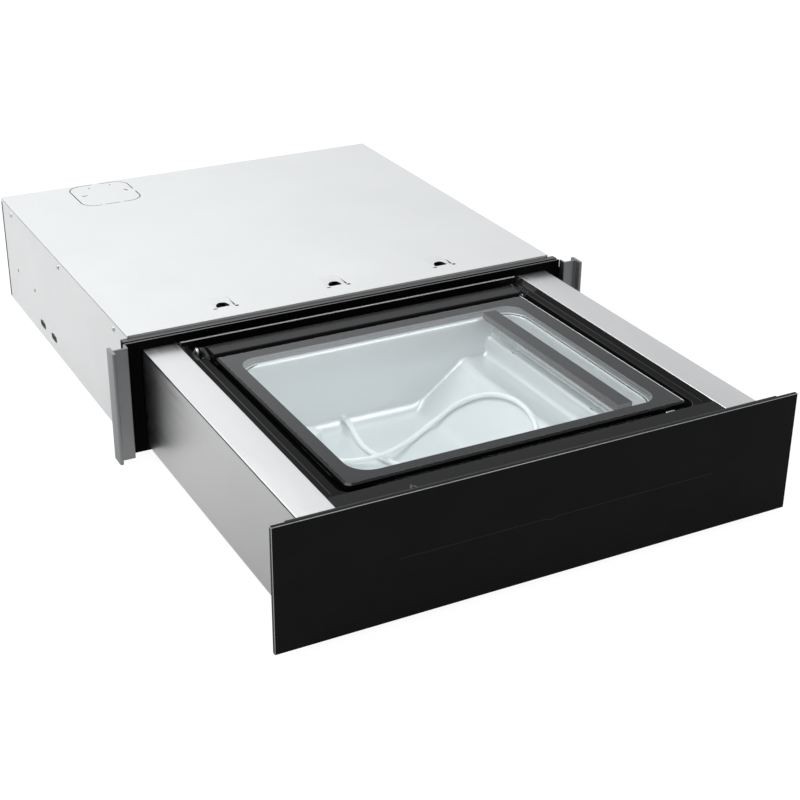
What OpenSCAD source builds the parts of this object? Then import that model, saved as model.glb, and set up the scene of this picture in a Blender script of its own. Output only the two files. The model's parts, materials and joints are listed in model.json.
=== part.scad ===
// Built-in vacuum sealing drawer, standing on its housing, drawn with the drawer pulled out.
// Millimetres. +X is right, +Y is into the cabinet, +Z is up.
// The origin is the middle of the housing's bottom face.

/* [Housing] */
// Width over the side walls
housing_w = 552; // [520:1:556]
// Height from the bottom face to the top face
housing_h = 144.5; // [142:0.5:180]
// Room behind the shut drawer, for the latch and the mains parts
rear_room = 65; // [60:1:80]
// Sheet of the tray that makes bottom and sides
tray_t = 1.2; // [0.8:0.1:2]
// Sheet of the top cover
cover_t = 1; // [0.8:0.1:1.5]
// Height of the cover's turned-down flanges
cover_flange_h = 14; // [12:1:20]
// Sheet of the rear panel
rear_t = 1; // [0.8:0.1:2]
// Height of the side screws below the top face
side_screw_drop = 10; // [9:0.5:12]
// Distance between the side screws
side_screw_pitch = 212; // [150:1:220]

/* [Collar and trims] */
// How far the black collar stands out beyond each side wall
collar_over = 8; // [5:0.5:10]
// Depth of the collar in front of the housing
collar_d = 15; // [12:0.5:20]
// Width of the collar's upright bars
collar_side_w = 18.5; // [16:0.5:22]
// Height of the collar's top bar
collar_top_h = 9.4; // [8:0.2:12]
// Height of the collar's bottom bar
collar_bottom_h = 2.8; // [2:0.2:4]
// Width of a side trim, from collar to outer face
trim_w = 21; // [18:0.5:26]
// How far a trim's outer lip stands in front of the cabinet
trim_d = 20.4; // [18:0.2:24]
// How far a trim's face stands in front of the cabinet
trim_face_d = 11; // [8:0.2:14]
// Thickness of the trim's outer lip
trim_lip_t = 4; // [2.5:0.5:6]

/* [Front] */
// How far the front glass ends inside each trim's outer face
glass_inset = 6.5; // [4.5:0.5:10]
// Height of front glass, trims and collar
front_h = 136.5; // [132:0.5:140]
// Height of the front's lower edge above the bottom face
front_z = 5.4; // [3:0.2:8]
// Thickness of the front glass
front_glass_t = 5; // [4:0.5:8]
// How far the steel carrier behind the glass ends inside each edge of the collar
carrier_inset = 4; // [2:0.5:10]
// Depth of the folded carrier
carrier_d = 7.9; // [6:0.1:8]
// Sheet of the carrier
carrier_t = 1.2; // [0.8:0.1:1.5]

/* [Drawer] */
// Gap between carrier and collar when the drawer is shut
closed_gap = 9; // [6:0.5:12]
// Depth of the bay for the pump, behind the chamber
pump_bay = 139; // [132:1:150]
// Width of a hollow side box
side_box_w = 39.9; // [36:0.1:44]
// Gap between a side box and the collar
side_gap = 1.85; // [1:0.05:3]
// Gap under the drawer and above it, inside the collar
lift_gap = 1.2; // [1:0.1:2]
// Sheet of the side boxes
box_t = 1; // [0.8:0.1:1.5]
// Sheet of the drawer's bottom and back
pan_t = 1; // [0.8:0.1:1.5]

/* [Deck and ledge] */
// Depth of the control ledge behind the front
ledge_d = 31; // [28:0.5:36]
// How far the deck's floor lies below the top of the side boxes
deck_drop = 16.5; // [15:0.5:20]
// How far the deck's raised rim lies below the top of the side boxes
rim_drop = 3; // [2:0.5:5]
// Wall of the moulded deck and ledge
deck_t = 2.5; // [2:0.5:3]
// Width of the deck's raised rim on each side of the lid's well
side_rim_w = 17.75; // [14:0.25:20]
// Radius of the well's front corners
well_r = 15; // [8:1:20]

/* [Lid] */
// Gap between the lid's side edges and the well
lid_side_gap = 8.5; // [4:0.5:10]
// How far the lid reaches in front of the chamber's mouth
lid_over_front = 27; // [24:0.5:30]
// How far the lid reaches behind the chamber's mouth
lid_over_rear = 22; // [20:0.5:24]
// Thickness of the glass lid
lid_t = 6; // [5:0.5:8]
// How far the lid stands open in the photograph, in degrees; 0 is shut
lid_rest = 0.55; // [0:0.05:0.6]
// Gap between the lid's front edge and the ledge
lid_gap = 10; // [9.5:0.5:14]
// Radius of the lid's front corners
lid_r = 7; // [4:1:16]
// How far the hinge bar stands out beyond each side of the lid
hinge_bar_over = 0.5; // [0:0.5:2]
// Depth of the hinge bar
hinge_bar_d = 29; // [26:0.5:32]
// Gap between the lid and the hinge bar
hinge_bar_gap = 1; // [1:0.5:3]
// Room between the hinge bar and the deck's rear edge
hinge_room = 18; // [16:0.5:20]
// Thickness of a hinge arm
arm_t = 4; // [3:0.5:5]
// Radius of the hinge pins
pin_r = 3; // [2.5:0.5:4]
// Length that the hinge pins stand through arm and bracket
pin_len = 13; // [12:0.5:14]

/* [Chamber] */
// How far the lid reaches beyond each side of the chamber's mouth
lid_over_side = 20.5; // [20:0.5:26]
// Depth of the chamber's mouth, front to back
chamber_d = 282; // [260:1:290]
// Height of the chamber from floor to rim
chamber_h = 92.5; // [72:0.5:96]
// How far the rear wall flares out towards the rim
rear_flare = 11; // [4:0.5:14]
// Sheet of the chamber
chamber_t = 1; // [0.8:0.1:1.5]
// Radius of the chamber's upright corners
chamber_r = 26; // [15:1:40]
// Radius along the chamber's floor
floor_r = 10; // [6:1:14]
// Depth of the raised shelf below the rim
shelf_drop = 43.5; // [36:0.5:52]
// Depth of the sealing bar's ledge below the rim
ledge_drop = 21.5; // [20:0.5:24]
// Where the floor ends and the slope starts, from the right wall
slope_foot = 143; // [136:1:166]
// Where the slope meets the shelf, from the right wall
slope_head = 80; // [72:1:92]
// Where the shelf ends, from the right wall
shelf_end = 44; // [42:1:47]
// Width of the rim that carries the seal
rim_w = 16; // [14:1:18]
// Width of the lid seal
seal_w = 6; // [4:0.5:7]

/* [Sealing bar] */
// How far each end of the sealing bar is from the chamber's mouth
bar_short = 13; // [12:0.5:20]
// Width of the sealing bar
bar_w = 13; // [10:0.5:14]
// Height of the sealing bar
bar_h = 9; // [7:0.5:10]
// How far the sealing bar lifts
bar_lift = 4; // [3:0.5:5]
// Place of the sealing bar's middle line, from the right wall
bar_in = 31; // [28:0.5:31]
// Width of the silicone counter bar under the lid
counter_w = 17.5; // [14:0.5:18]
// How far the counter bar's middle line lies left of the sealing bar's
counter_shift = 6; // [0:0.5:6]
// How far each end of the counter bar is from the chamber's mouth
counter_short = 2; // [2:0.5:8]
// How far each lift rod is from the chamber's mouth
rod_short = 60; // [50:1:80]

/* [Runners] */
// How much longer each runner member is than the drawer's travel
runner_over = 29; // [14:1:33]
// Height of the fixed runner member
runner_h = 45; // [40:1:50]
// Height of the runner's middle line above the bottom face
runner_z = 70; // [50:1:80]
// Sheet of the runner members
runner_t = 1.5; // [1.2:0.1:1.6]

/* [Pump] */
// Radius of the pump's motor
motor_r = 38; // [30:1:40]
// Length of the motor
motor_len = 96; // [80:1:100]
// Radius of the motor shaft
shaft_r = 5; // [4:0.5:6]
// Radius of the cooling fan
fan_r = 33; // [25:1:34]

/* [Hose] */
// Outside diameter of the loose hose
hose_dia = 6; // [5:0.5:6]

/* [Hidden] */
$fn = 48;
// Clearances
running = 0.05;
touch = 0.3;
cut = 1;
// Levels and lines of the drawer, as seen from the mouth
collar_w = housing_w + 2 * collar_over;
carrier_w = collar_w - 2 * carrier_inset;
front_w = collar_w + 2 * (trim_w - glass_inset);
front_top = front_z + front_h;
mouth_x = collar_w / 2 - collar_side_w;
mouth_z0 = front_z + collar_bottom_h;
mouth_z1 = front_top - collar_top_h;
drawer_z0 = mouth_z0 + lift_gap;
drawer_z1 = mouth_z1 - lift_gap;
box_x1 = mouth_x - side_gap;
box_x0 = box_x1 - side_box_w;
// The deck's depth is the sum of what lies in it, and the drawer is pulled out until it shows
well_w = 2 * (box_x0 - side_rim_w);
lid_w = well_w - 2 * lid_side_gap;
lid_d = lid_over_front + chamber_d + lid_over_rear;
deck_len = ledge_d + lid_gap + lid_d + hinge_bar_gap + hinge_bar_d + hinge_room;
travel = deck_len - closed_gap;
drawer_y0 = -deck_len;
deck_z = drawer_z1 - deck_drop;
rim_z = drawer_z1 - rim_drop;
ledge_y = drawer_y0 + ledge_d;
// Lid
lid_y0 = ledge_y + lid_gap;
lid_y1 = lid_y0 + lid_d;
lid_top = rim_z;
lid_under = lid_top - lid_t;
hinge_bar_w = lid_w + 2 * hinge_bar_over;
bar_y0 = lid_y1 + hinge_bar_gap;
bar_y1 = bar_y0 + hinge_bar_d;
bar_rear_drop = 6;
pivot_y = bar_y1 + 3;
pivot_z = lid_under - 1;
tongue_d = 9;
tongue_t = 3;
arm_x0 = hinge_bar_w / 2 + 2;
arm_hub_r = pin_r + 3;
link_r = 2.5;
bracket_x0 = arm_x0 + arm_t + touch;
bracket_t = 4;
bracket_r = pivot_z - deck_z;
bracket_foot = 2.5;
// Chamber under the lid
chamber_w = lid_w - 2 * lid_over_side;
chamber_y0 = lid_y0 + lid_over_front;
chamber_y1 = chamber_y0 + chamber_d;
wall_y = chamber_y1 - rear_flare;
slope_x0 = chamber_w / 2 - slope_foot;
slope_x1 = chamber_w / 2 - slope_head;
shelf_x1 = chamber_w / 2 - shelf_end;
drawer_y1 = wall_y + pump_bay;
drawer_len = drawer_y1 - drawer_y0;
// Levels and lines of the housing
housing_d = drawer_len - closed_gap - collar_d + rear_room;
rear_y = housing_d / 2;
front_y = -housing_d / 2;
mouth_y = front_y - collar_d;
tray_in = housing_w / 2 - tray_t;
rim_top = deck_z - deck_t;
// The chamber's rim lies on the deck's floor
seat_z = deck_z + chamber_t;
floor_z = seat_z - chamber_h;
shelf_z = seat_z - shelf_drop;
bar_ledge_z = seat_z - ledge_drop;
wall_draft = 3;
flare_z = shelf_z + 4;
corner_n = 5;
seal_gap = 4;
seal_foot_h = 2.5;
// Sealing bar
bar_z0 = bar_ledge_z + 6;
counter_z0 = bar_z0 + bar_h + bar_lift + touch;
bar_y_mid = (chamber_y0 + chamber_y1) / 2;
bar_x = chamber_w / 2 - bar_in;
bar_len = chamber_d - 2 * bar_short;
counter_x = bar_x - counter_shift;
counter_len = chamber_d - 2 * counter_short;
rod_pitch = chamber_d - 2 * rod_short;
rod_r = 3;
cylinder_r = 8;
cylinder_wall = 2;
cylinder_h = 33;
piston_h = 6;
// Runners: the fixed member stands on a bracket inside the hollow side box
runner_w = 12.7;
runner_len = travel + runner_over;
runner_x0 = box_x0 + box_t;
runner_x1 = runner_x0 + runner_w;
runner_y0 = 25;
runner_shift = travel / 2;
foot_w = 26;
bracket_sheet = 2;
bracket_hole_pitch = 160;
// Hose, its route as points chosen by hand, from the port to the cap
port_x = slope_x0 - 92;
port_z = floor_z + 10;
port_len = 10;
port_r = 4;
cap_at = [slope_x0 - 149, wall_y - 29];
cap_r = 18;
cap_h = 18;
spout_z = floor_z + 6;
// Each point's height is above the chamber's floor; x and y were read with the slope's foot 34 mm
// right of the middle and the rear wall 81 mm in front of the mouth
LAY = [[-58.5, -106, 8.5], [-60, -118, 5.5], [-62, -131, 3.8], [-63, -145, 3.3],
    [-61, -165, 3.3], [-55, -185, 3.3], [-46, -206, 3.3], [-33, -228, 3.3], [-16, -250, 3.3],
    [4, -270, 3.3], [26, -286, 5], [46, -294, 14], [64, -292, 28.2], [79, -280, 39.9],
    [88, -262, 47], [94, -240, 51.4], [96, -215, 52.6], [92.5, -191, 50.6], [85, -168, 44.8],
    [73, -150, 35.3], [57, -138, 22.9], [40, -134, 10.2], [22, -138, 4.8], [4, -148, 3.4],
    [-14, -160, 4.6], [-30, -171, 7.4], [-45, -180, 9.8], [-60, -185, 10.8], [-75, -183, 9],
    [-90, -175, 6], [-102, -165, 4.4], [-110.5, -155, 5], [-114.3, -147, 5.8]];
HOSE = concat([[port_x, wall_y - port_len, port_z], [port_x, wall_y - port_len - 6, port_z]],
    [for (p = LAY) [p[0] + slope_x0 - 34, p[1] + wall_y + 81, floor_z + p[2]]],
    [[cap_at[0], cap_at[1] - 32, spout_z], [cap_at[0], cap_at[1] - 26, spout_z]]);

// Small helpers
module at_mouth() translate([0, mouth_y, 0]) children();
module left() mirror([1, 0, 0]) children();
module both() {
    children();
    mirror([1, 0, 0]) children();
}
module block(x0, x1, y0, y1, z0, z1) translate([x0, y0, z0]) cube([x1 - x0, y1 - y0, z1 - z0]);
module rod_x(r, x0, x1) translate([x0, 0, 0]) rotate([0, 90, 0]) cylinder(r = r, h = x1 - x0);
module rod_y(r, y0, y1) translate([0, y0, 0]) rotate([-90, 0, 0]) cylinder(r = r, h = y1 - y0);
// A flat outline with round corners, made from squares and circles so that its corners stay true
module round_rect(x0, x1, y0, y1, r) {
    translate([x0 + r, y0]) square([x1 - x0 - 2 * r, y1 - y0]);
    translate([x0, y0 + r]) square([x1 - x0, y1 - y0 - 2 * r]);
    for (x = [x0 + r, x1 - r], y = [y0 + r, y1 - r]) translate([x, y]) circle(r = r);
}
// The same, with only the two corners at low y rounded
module front_round_rect(x0, x1, y0, y1, r) {
    translate([x0 + r, y0]) square([x1 - x0 - 2 * r, y1 - y0]);
    translate([x0, y0 + r]) square([x1 - x0, y1 - y0 - r]);
    for (x = [x0 + r, x1 - r]) translate([x, y0 + r]) circle(r = r);
}
// A slot with round ends, along X
module slot(l, w) {
    square([l - w, w], center = true);
    for (s = [-1, 1]) translate([s * (l - w) / 2, 0]) circle(r = w / 2);
}
// Points of an arc that rounds the corner b between a and c
function unit(v) = v / norm(v);
function arc_at(a, b, c, r, n) = let (u = unit(a - b), v = unit(c - b), h = acos(u * v) / 2,
    m = b + unit(u + v) * r / sin(h), s = b + u * r / tan(h) - m, e = b + v * r / tan(h) - m)
    [for (i = [0 : n]) let (d = s * (1 - i / n) + e * (i / n)) m + unit(d) * r];
function rounded(p, r, n) = [for (i = [0 : len(p) - 1]) each (r[i] <= 0) ? [p[i]] :
    arc_at(p[(i + len(p) - 1) % len(p)], p[i], p[(i + 1) % len(p)], r[i], n)];

// Housing: folded tray with bottom and side walls; the walls end just short of the rear panel
bay_y = rear_y - rear_t - tray_t;
rear_slot = 3.5;
// Marks in the side walls, as distances from the rear panel's face
keyhole_back = [160.5, 209.5];
keyhole_z = 18.5;
side_hole_back = [134.5, 55.5];
side_hole_z = 57;
floor_slot_x = tray_in - 59.8;
floor_slot_y = 180;
rear_screw_in = 34.8;
rear_screw_x = [for (k = [-3 : 2 : 3]) k / 3 * (tray_in - rear_screw_in)];
rear_screw_z = [tray_t + 5, housing_h - cover_t - 6];
module side_keyhole(y, z) {
    translate([0, y, z]) rod_x(3.5, housing_w / 2 - tray_t - cut, housing_w / 2 + cut);
    translate([0, y, z + 4]) rod_x(2, housing_w / 2 - tray_t - cut, housing_w / 2 + cut);
    block(housing_w / 2 - tray_t - cut, housing_w / 2 + cut, y - 2, y + 2, z, z + 4);
}
module base_tray() color("gainsboro") difference() {
    union() {
        block(-housing_w / 2, housing_w / 2, front_y, rear_y, 0, tray_t);
        both() block(tray_in, housing_w / 2, front_y, rear_y - rear_slot, tray_t,
            housing_h - cover_t);
        // Rear upstand that carries the rear panel
        block(-tray_in + 4, tray_in - 4, bay_y, rear_y - rear_t, tray_t, tray_t + 10);
    }
    both() {
        for (i = [-1 : 1]) translate([0, i * side_screw_pitch, housing_h - side_screw_drop])
            rod_x(1.6, tray_in - cut, housing_w / 2 + cut);
        for (d = keyhole_back) side_keyhole(rear_y - d, keyhole_z);
        for (d = side_hole_back) translate([0, rear_y - d, side_hole_z])
            rod_x(2, tray_in - cut, housing_w / 2 + cut);
        // Slots through which the cabinet floor screws pass
        for (y = [-floor_slot_y, floor_slot_y]) translate([floor_slot_x, y, -cut])
            linear_extrude(tray_t + 2 * cut) slot(14, 5);
    }
    for (x = rear_screw_x) translate([x, rear_y, rear_screw_z[0]]) rod_y(1.6, -5, 0);
}

// Top cover with turned-down flanges, three lanced hooks and a knock-out plate
hook_x = [-146.5, -2, 142.5];
hook_y0 = 29;
hook_w = 26;
hook_d = 30;
hook_sink = 3;
hook_hole_r = 8;
hook_hole_d = 16;
module hook_cut(x) {
    translate([x - hook_w / 2, front_y + hook_y0, housing_h - cover_t - cut])
        cube([hook_w, hook_d, cover_t + 2 * cut]);
    for (s = [-1, 1]) translate([x + s * 13.2, front_y + hook_y0 - 3, housing_h - cover_t - cut])
        linear_extrude(cover_t + 2 * cut) slot(5.2, 3.4);
}
module hook_pad(x) difference() {
    translate([x - hook_w / 2, front_y + hook_y0, housing_h - cover_t])
        rotate([90, 0, 90]) linear_extrude(hook_w)
            polygon([[0, -hook_sink], [hook_d, 0], [hook_d, cover_t], [0, cover_t - hook_sink]]);
    translate([x, front_y + hook_y0 + hook_hole_d - hook_hole_r, housing_h - cover_t - hook_sink - cut])
        linear_extrude(hook_sink + cover_t + 2 * cut) {
            circle(r = hook_hole_r);
            translate([-hook_hole_r, -hook_hole_d]) square([2 * hook_hole_r, hook_hole_d]);
        }
}
plate_x0 = -housing_w / 2 + 90;
plate_x1 = plate_x0 + 84;
plate_y1 = rear_y - 3.5;
plate_y0 = plate_y1 - 87;
plate_slot = 1.2;
module knock_out_slot() {
    translate([0, 0, housing_h - cover_t - cut]) linear_extrude(cover_t + 2 * cut) difference() {
        round_rect(plate_x0, plate_x1, plate_y0, plate_y1, 20);
        round_rect(plate_x0 + plate_slot, plate_x1 - plate_slot, plate_y0 + plate_slot,
            plate_y1 - plate_slot, 20 - plate_slot);
        for (x = [26.5, 52]) translate([plate_x0 + x - 2, plate_y0 - 1])
            square([4, plate_slot + 2]);
        translate([plate_x0 + 36, plate_y1 - plate_slot - 1]) square([12, plate_slot + 2]);
        translate([plate_x1 - plate_slot - 1, plate_y0 + 36]) square([plate_slot + 2, 10]);
    }
    for (p = [[14, 45, 0], [73, 46, -60]])
        translate([plate_x0 + p[0], plate_y0 + p[1], housing_h - cover_t - cut])
            rotate([0, 0, p[2]]) linear_extrude(cover_t + 2 * cut) slot(8, 2);
    for (p = [[29, 73], [60, 76]])
        translate([plate_x0 + p[0], plate_y0 + p[1], housing_h - cover_t - cut])
            cylinder(r = 1.2, h = cover_t + 2 * cut);
}
module top_cover() color("whitesmoke") {
    difference() {
        union() {
            block(-housing_w / 2, housing_w / 2, front_y, rear_y, housing_h - cover_t, housing_h);
            both() block(tray_in - cover_t, tray_in, front_y + 2, rear_y - 12,
                housing_h - cover_t - cover_flange_h, housing_h - cover_t);
            block(-tray_in + cover_t, tray_in - cover_t, front_y, front_y + cover_t,
                mouth_z1 + 1, housing_h - cover_t);
            block(-tray_in + 4, tray_in - 4, rear_y - rear_t - cover_t, rear_y - rear_t,
                housing_h - cover_t - 11, housing_h - cover_t);
        }
        for (x = hook_x) hook_cut(x);
        knock_out_slot();
        both() for (i = [-1 : 1]) translate([0, i * side_screw_pitch, housing_h - side_screw_drop])
            rod_x(1.6, tray_in - cover_t - cut, tray_in + cut);
        for (x = rear_screw_x) translate([x, rear_y, rear_screw_z[1]]) rod_y(1.6, -5, 0);
    }
    for (x = hook_x) hook_pad(x);
}

// Rear panel, a shallow pan with air slots and the inlet's hole
inlet_x = 59.8 - tray_in;
inlet_z = 34;
inlet_r = 9;
rear_return = 12;
module rear_panel() color("dimgray") difference() {
    union() {
        block(-tray_in, tray_in, rear_y - rear_t, rear_y, tray_t, housing_h - cover_t);
        both() block(tray_in - rear_t, tray_in, rear_y - rear_return, rear_y - rear_t, tray_t,
            housing_h - cover_t - cover_flange_h - 1);
    }
    translate([inlet_x, rear_y, inlet_z]) rod_y(inlet_r, -rear_t - cut, cut);
    for (g = [-60, tray_in - 124.8], i = [0 : 9]) translate([g + i * 9, rear_y, 70]) rotate([90, 0, 0])
        translate([0, 0, -cut]) linear_extrude(rear_t + 2 * cut) rotate(90) slot(36, 4);
    for (x = rear_screw_x, z = rear_screw_z) translate([x, rear_y, z]) rod_y(1.6, -rear_t - cut, cut);
}

// Collar round the mouth, with a groove along its top bar and lugs into the tray
fix_z = [40, 108];
fix_r = 2.5;
lug_len = 14;
lug_end = 14.6;
ear_t = 2;
ear_x = collar_w / 2 + trim_w - trim_lip_t - touch;
lug_t = 1.5;
module front_frame() color([0.05, 0.05, 0.05]) at_mouth() difference() {
    union() {
        difference() {
            block(-collar_w / 2, collar_w / 2, 0, collar_d, front_z, front_top);
            block(-mouth_x, mouth_x, -cut, collar_d + cut, mouth_z0, mouth_z1);
        }
        both() {
            block(tray_in - lug_t - 0.2, tray_in - 0.2, collar_d, collar_d + lug_len,
                front_z + lug_end, front_top - lug_end - 7);
            // Ear that lies against the cabinet's front edge, under the trim
            block(collar_w / 2, ear_x, 0, ear_t, front_z + 3, front_top - 10);
        }
    }
    block(-collar_w / 2 - cut, collar_w / 2 + cut, 3, 6, front_top - 2, front_top + cut);
    both() for (z = fix_z) translate([0, collar_d / 2, z]) {
        rod_x(fix_r, mouth_x - cut, collar_w / 2 + cut);
        rod_x(fix_r + 2.5, mouth_x - cut, mouth_x + 4);
    }
}

// Aluminium side trims, one profile drawn and cut to length
trim_t = 2.2;
module trim_profile() {
    x0 = collar_w / 2;
    x1 = x0 + trim_w;
    x2 = x1 - trim_lip_t;
    polygon([[x0, -trim_face_d], [x2, -trim_face_d], [x2, -trim_d + 1], [x2 + 1, -trim_d],
        [x1 - 0.6, -trim_d], [x1, -trim_d + 0.6], [x1, 0], [x2, 0], [x2, trim_t - trim_face_d],
        [x0 + trim_t, trim_t - trim_face_d], [x0 + trim_t, 0], [x0, 0]]);
}
module trim() at_mouth() translate([0, 0, front_z]) linear_extrude(front_h) trim_profile();
module trim_left() color("darkgray") left() trim();
module trim_right() color("darkgray") trim();

// Screws of the housing: three in each side, two rows in the rear panel
module pan_screw() {
    translate([0, 0, -6]) cylinder(r = 1.55, h = 6);
    difference() {
        intersection() {
            translate([0, 0, -3.1]) sphere(r = 5);
            cylinder(r = 3.4, h = 1.9);
        }
        for (a = [0, 90]) rotate([0, 0, a]) block(-2, 2, -0.35, 0.35, 0.9, 3);
    }
}
module cover_screws() color("silver") {
    both() for (i = [-1 : 1]) translate([housing_w / 2, i * side_screw_pitch,
        housing_h - side_screw_drop]) rotate([0, 90, 0]) pan_screw();
    for (x = rear_screw_x, z = rear_screw_z) translate([x, rear_y, z]) rotate([-90, 0, 0]) pan_screw();
}

// Runner bracket: an angle on the tray's floor, inside the hollow side box
module runner_bracket() at_mouth() difference() {
    union() {
        block(runner_x1, runner_x1 + bracket_sheet, runner_y0, runner_y0 + runner_len, tray_t,
            runner_z + runner_h / 2 + 4);
        block(runner_x1, runner_x1 + foot_w, runner_y0, runner_y0 + runner_len, tray_t,
            tray_t + bracket_sheet);
    }
    for (i = [-1 : 1]) translate([0, runner_y0 + runner_len / 2 + i * bracket_hole_pitch, 0]) {
        translate([0, 0, runner_z]) rod_x(2.1, runner_x1 - cut, runner_x1 + bracket_sheet + cut);
        translate([runner_x1 + 15, 0, 0]) cylinder(r = 2.6, h = 6);
    }
}
module runner_bracket_left() color("silver") left() runner_bracket();
module runner_bracket_right() color("silver") runner_bracket();

// Telescopic runner members, drawn in section across their length
fixed_lip = 10;
module fixed_section() {
    h = runner_h / 2;
    t = runner_t;
    polygon([[0, -h], [fixed_lip, -h], [fixed_lip, -h + 3.2], [fixed_lip - t, -h + 3.2],
        [fixed_lip - t, -h + t], [t, -h + t], [t, h - t], [fixed_lip - t, h - t],
        [fixed_lip - t, h - 3.2], [fixed_lip, h - 3.2], [fixed_lip, h], [0, h]]);
}
module mid_section() {
    h = runner_h / 2 - 4;
    t = runner_t;
    web = 5.6;
    translate([web, -h]) square([t, 2 * h]);
    for (s = [-1, 1]) scale([1, s]) {
        translate([2.2, h - t]) square([web - 2.2 + t, t]);
        translate([web, h - 1 - t]) square([5.4, t]);
    }
}
module inner_section() {
    h = runner_h / 2 - 8.5;
    t = runner_t;
    w = runner_w;
    lip = 7.5;
    polygon([[w, -h], [w, h], [lip, h], [lip, h - t], [w - t, h - t], [w - t, -h + t],
        [lip, -h + t], [lip, -h]]);
}
// A section lies with its first axis from the bracket towards the middle of the drawer
module runner_bar(y0) translate([runner_x1, y0, runner_z]) mirror([1, 0, 0]) rotate([-90, 0, 0])
    linear_extrude(runner_len) children();
module runner_fixed() at_mouth() runner_bar(runner_y0) fixed_section();
module runner_mid() at_mouth() runner_bar(runner_y0 - runner_shift) mid_section();
module runner_inner() at_mouth() runner_bar(runner_y0 - travel) inner_section();
module runner_fixed_left() color("silver") left() runner_fixed();
module runner_fixed_right() color("silver") runner_fixed();
module runner_mid_left() color("gainsboro") left() runner_mid();
module runner_mid_right() color("gainsboro") runner_mid();
module runner_inner_left() color("silver") left() runner_inner();
module runner_inner_right() color("silver") runner_inner();

// Mains parts behind the closed drawer
module mains_inlet() color([0.1, 0.1, 0.1]) translate([inlet_x, rear_y, inlet_z]) difference() {
    union() {
        rod_y(inlet_r - 0.3, -14, 0);
        rod_y(inlet_r + 3, 0, 3);
        rod_y(inlet_r, 3, 6);
        rod_y(inlet_r + 3, -rear_t - 5, -rear_t);
    }
    rod_y(4, -14 - cut, 6 + cut);
}
terminal_x = 111.8 - tray_in;
terminal_w = 54;
terminal_h = 24.8;
module terminal_block() color("ivory") translate([terminal_x, 0, 0]) difference() {
    block(-terminal_w / 2, terminal_w / 2, bay_y - 26, bay_y - 4, tray_t, tray_t + terminal_h);
    for (i = [-1 : 1]) translate([i * terminal_w / 3.2, bay_y, tray_t]) {
        translate([0, -15, 11]) cylinder(r = 4, h = terminal_h);
        translate([0, -4, 9]) rod_y(2.5, -10, cut);
    }
}
filter_x = terminal_x + 83;
filter_w = 60;
filter_h = 38.8;
module mains_filter() color("silver") translate([filter_x, bay_y - 7, tray_t]) {
    block(-filter_w / 2, filter_w / 2, -38, 0, 0, filter_h);
    both() block(filter_w / 3 - 4, filter_w / 3 + 4, -42, -38, 0, tray_t);
    for (i = [-1 : 1]) block(i * filter_w / 4 - 3, i * filter_w / 4 + 3, -22, -21.2, filter_h,
        filter_h + 8);
}
transformer_x = tray_in - 91.8;
transformer_w = 66;
transformer_d = 44;
transformer_h = 60.8;
module sealing_transformer() color([0.55, 0.3, 0.15]) translate([transformer_x, bay_y - 26, tray_t]) {
    block(-transformer_w / 2, transformer_w / 2, -transformer_d / 2, transformer_d / 2, 4,
        4 + transformer_h);
    block(12 - transformer_w / 2, transformer_w / 2 - 12, -transformer_d / 2 - 4,
        transformer_d / 2 + 4, 12.8, transformer_h - 6);
    block(-transformer_w / 2 - 10, transformer_w / 2 + 10, -14, 14, 0, 4);
}

// Push latch: a sprung plunger that meets the back of the closed drawer
latch_z = 40;
plunger_r = 6;
latch_tip = mouth_y + drawer_y1 + travel + touch;
latch_y0 = latch_tip + 11;
plunger_travel = 4;
module push_latch_body() color("gray") difference() {
    union() {
        block(-20, 20, latch_y0, bay_y - 1, latch_z - 13, latch_z + 13);
        block(-14, 14, latch_y0 + 3, bay_y - 4, tray_t, latch_z - 13);
        block(-30, 30, latch_y0 + 3, bay_y - 4, tray_t, tray_t + 3);
    }
    translate([0, 0, latch_z]) rod_y(plunger_r + running, latch_y0 - cut, bay_y - 4);
}
module push_latch_plunger() color("dimgray") translate([0, 0, latch_z]) {
    rod_y(plunger_r, latch_tip + 2, bay_y - 4 - plunger_travel - 0.5);
    rod_y(plunger_r - 1, latch_tip, latch_tip + 2);
}

// Drawer: hollow side box, open below and behind so that it runs over its bracket
bend_r = 1.6;
module side_box() at_mouth() translate([0, drawer_y0, 0]) {
    block(box_x0 + box_t / 2, box_x1 - box_t / 2, 0, box_t, drawer_z0, drawer_z1 - box_t - bend_r);
    rotate([90, 0, 0]) mirror([0, 0, 1]) linear_extrude(drawer_len) polygon(concat(
        rounded([[box_x0, drawer_z0], [box_x0, drawer_z1], [box_x1, drawer_z1],
            [box_x1, drawer_z0]], [0, bend_r, bend_r, 0], 3),
        rounded([[box_x1 - box_t, drawer_z0], [box_x1 - box_t, drawer_z1 - box_t],
            [box_x0 + box_t, drawer_z1 - box_t], [box_x0 + box_t, drawer_z0]],
            [0, bend_r - box_t, bend_r - box_t, 0], 3)));
}
module side_box_left() color("lightgray") left() side_box();
module side_box_right() color("lightgray") side_box();

module base_pan() color("silver") at_mouth() {
    block(-box_x0, box_x0, drawer_y0, drawer_y1, drawer_z0, drawer_z0 + pan_t);
    both() block(box_x0 - pan_t, box_x0, drawer_y0, drawer_y1, drawer_z0 + pan_t, drawer_z0 + 16);
}
module rear_plate() color("silver") at_mouth() difference() {
    block(-box_x0 + pan_t, box_x0 - pan_t, drawer_y1 - pan_t, drawer_y1, drawer_z0 + pan_t,
        deck_z - deck_t);
    for (i = [0 : 7]) translate([73.75 - box_x0 + 12 * i, drawer_y1, 60]) rotate([90, 0, 0])
        translate([0, 0, -cut]) linear_extrude(pan_t + 2 * cut) rotate(90) slot(40, 4);
    translate([box_x0 - 28.75, drawer_y1, 60]) rod_y(8, -pan_t - cut, cut);
}

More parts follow.
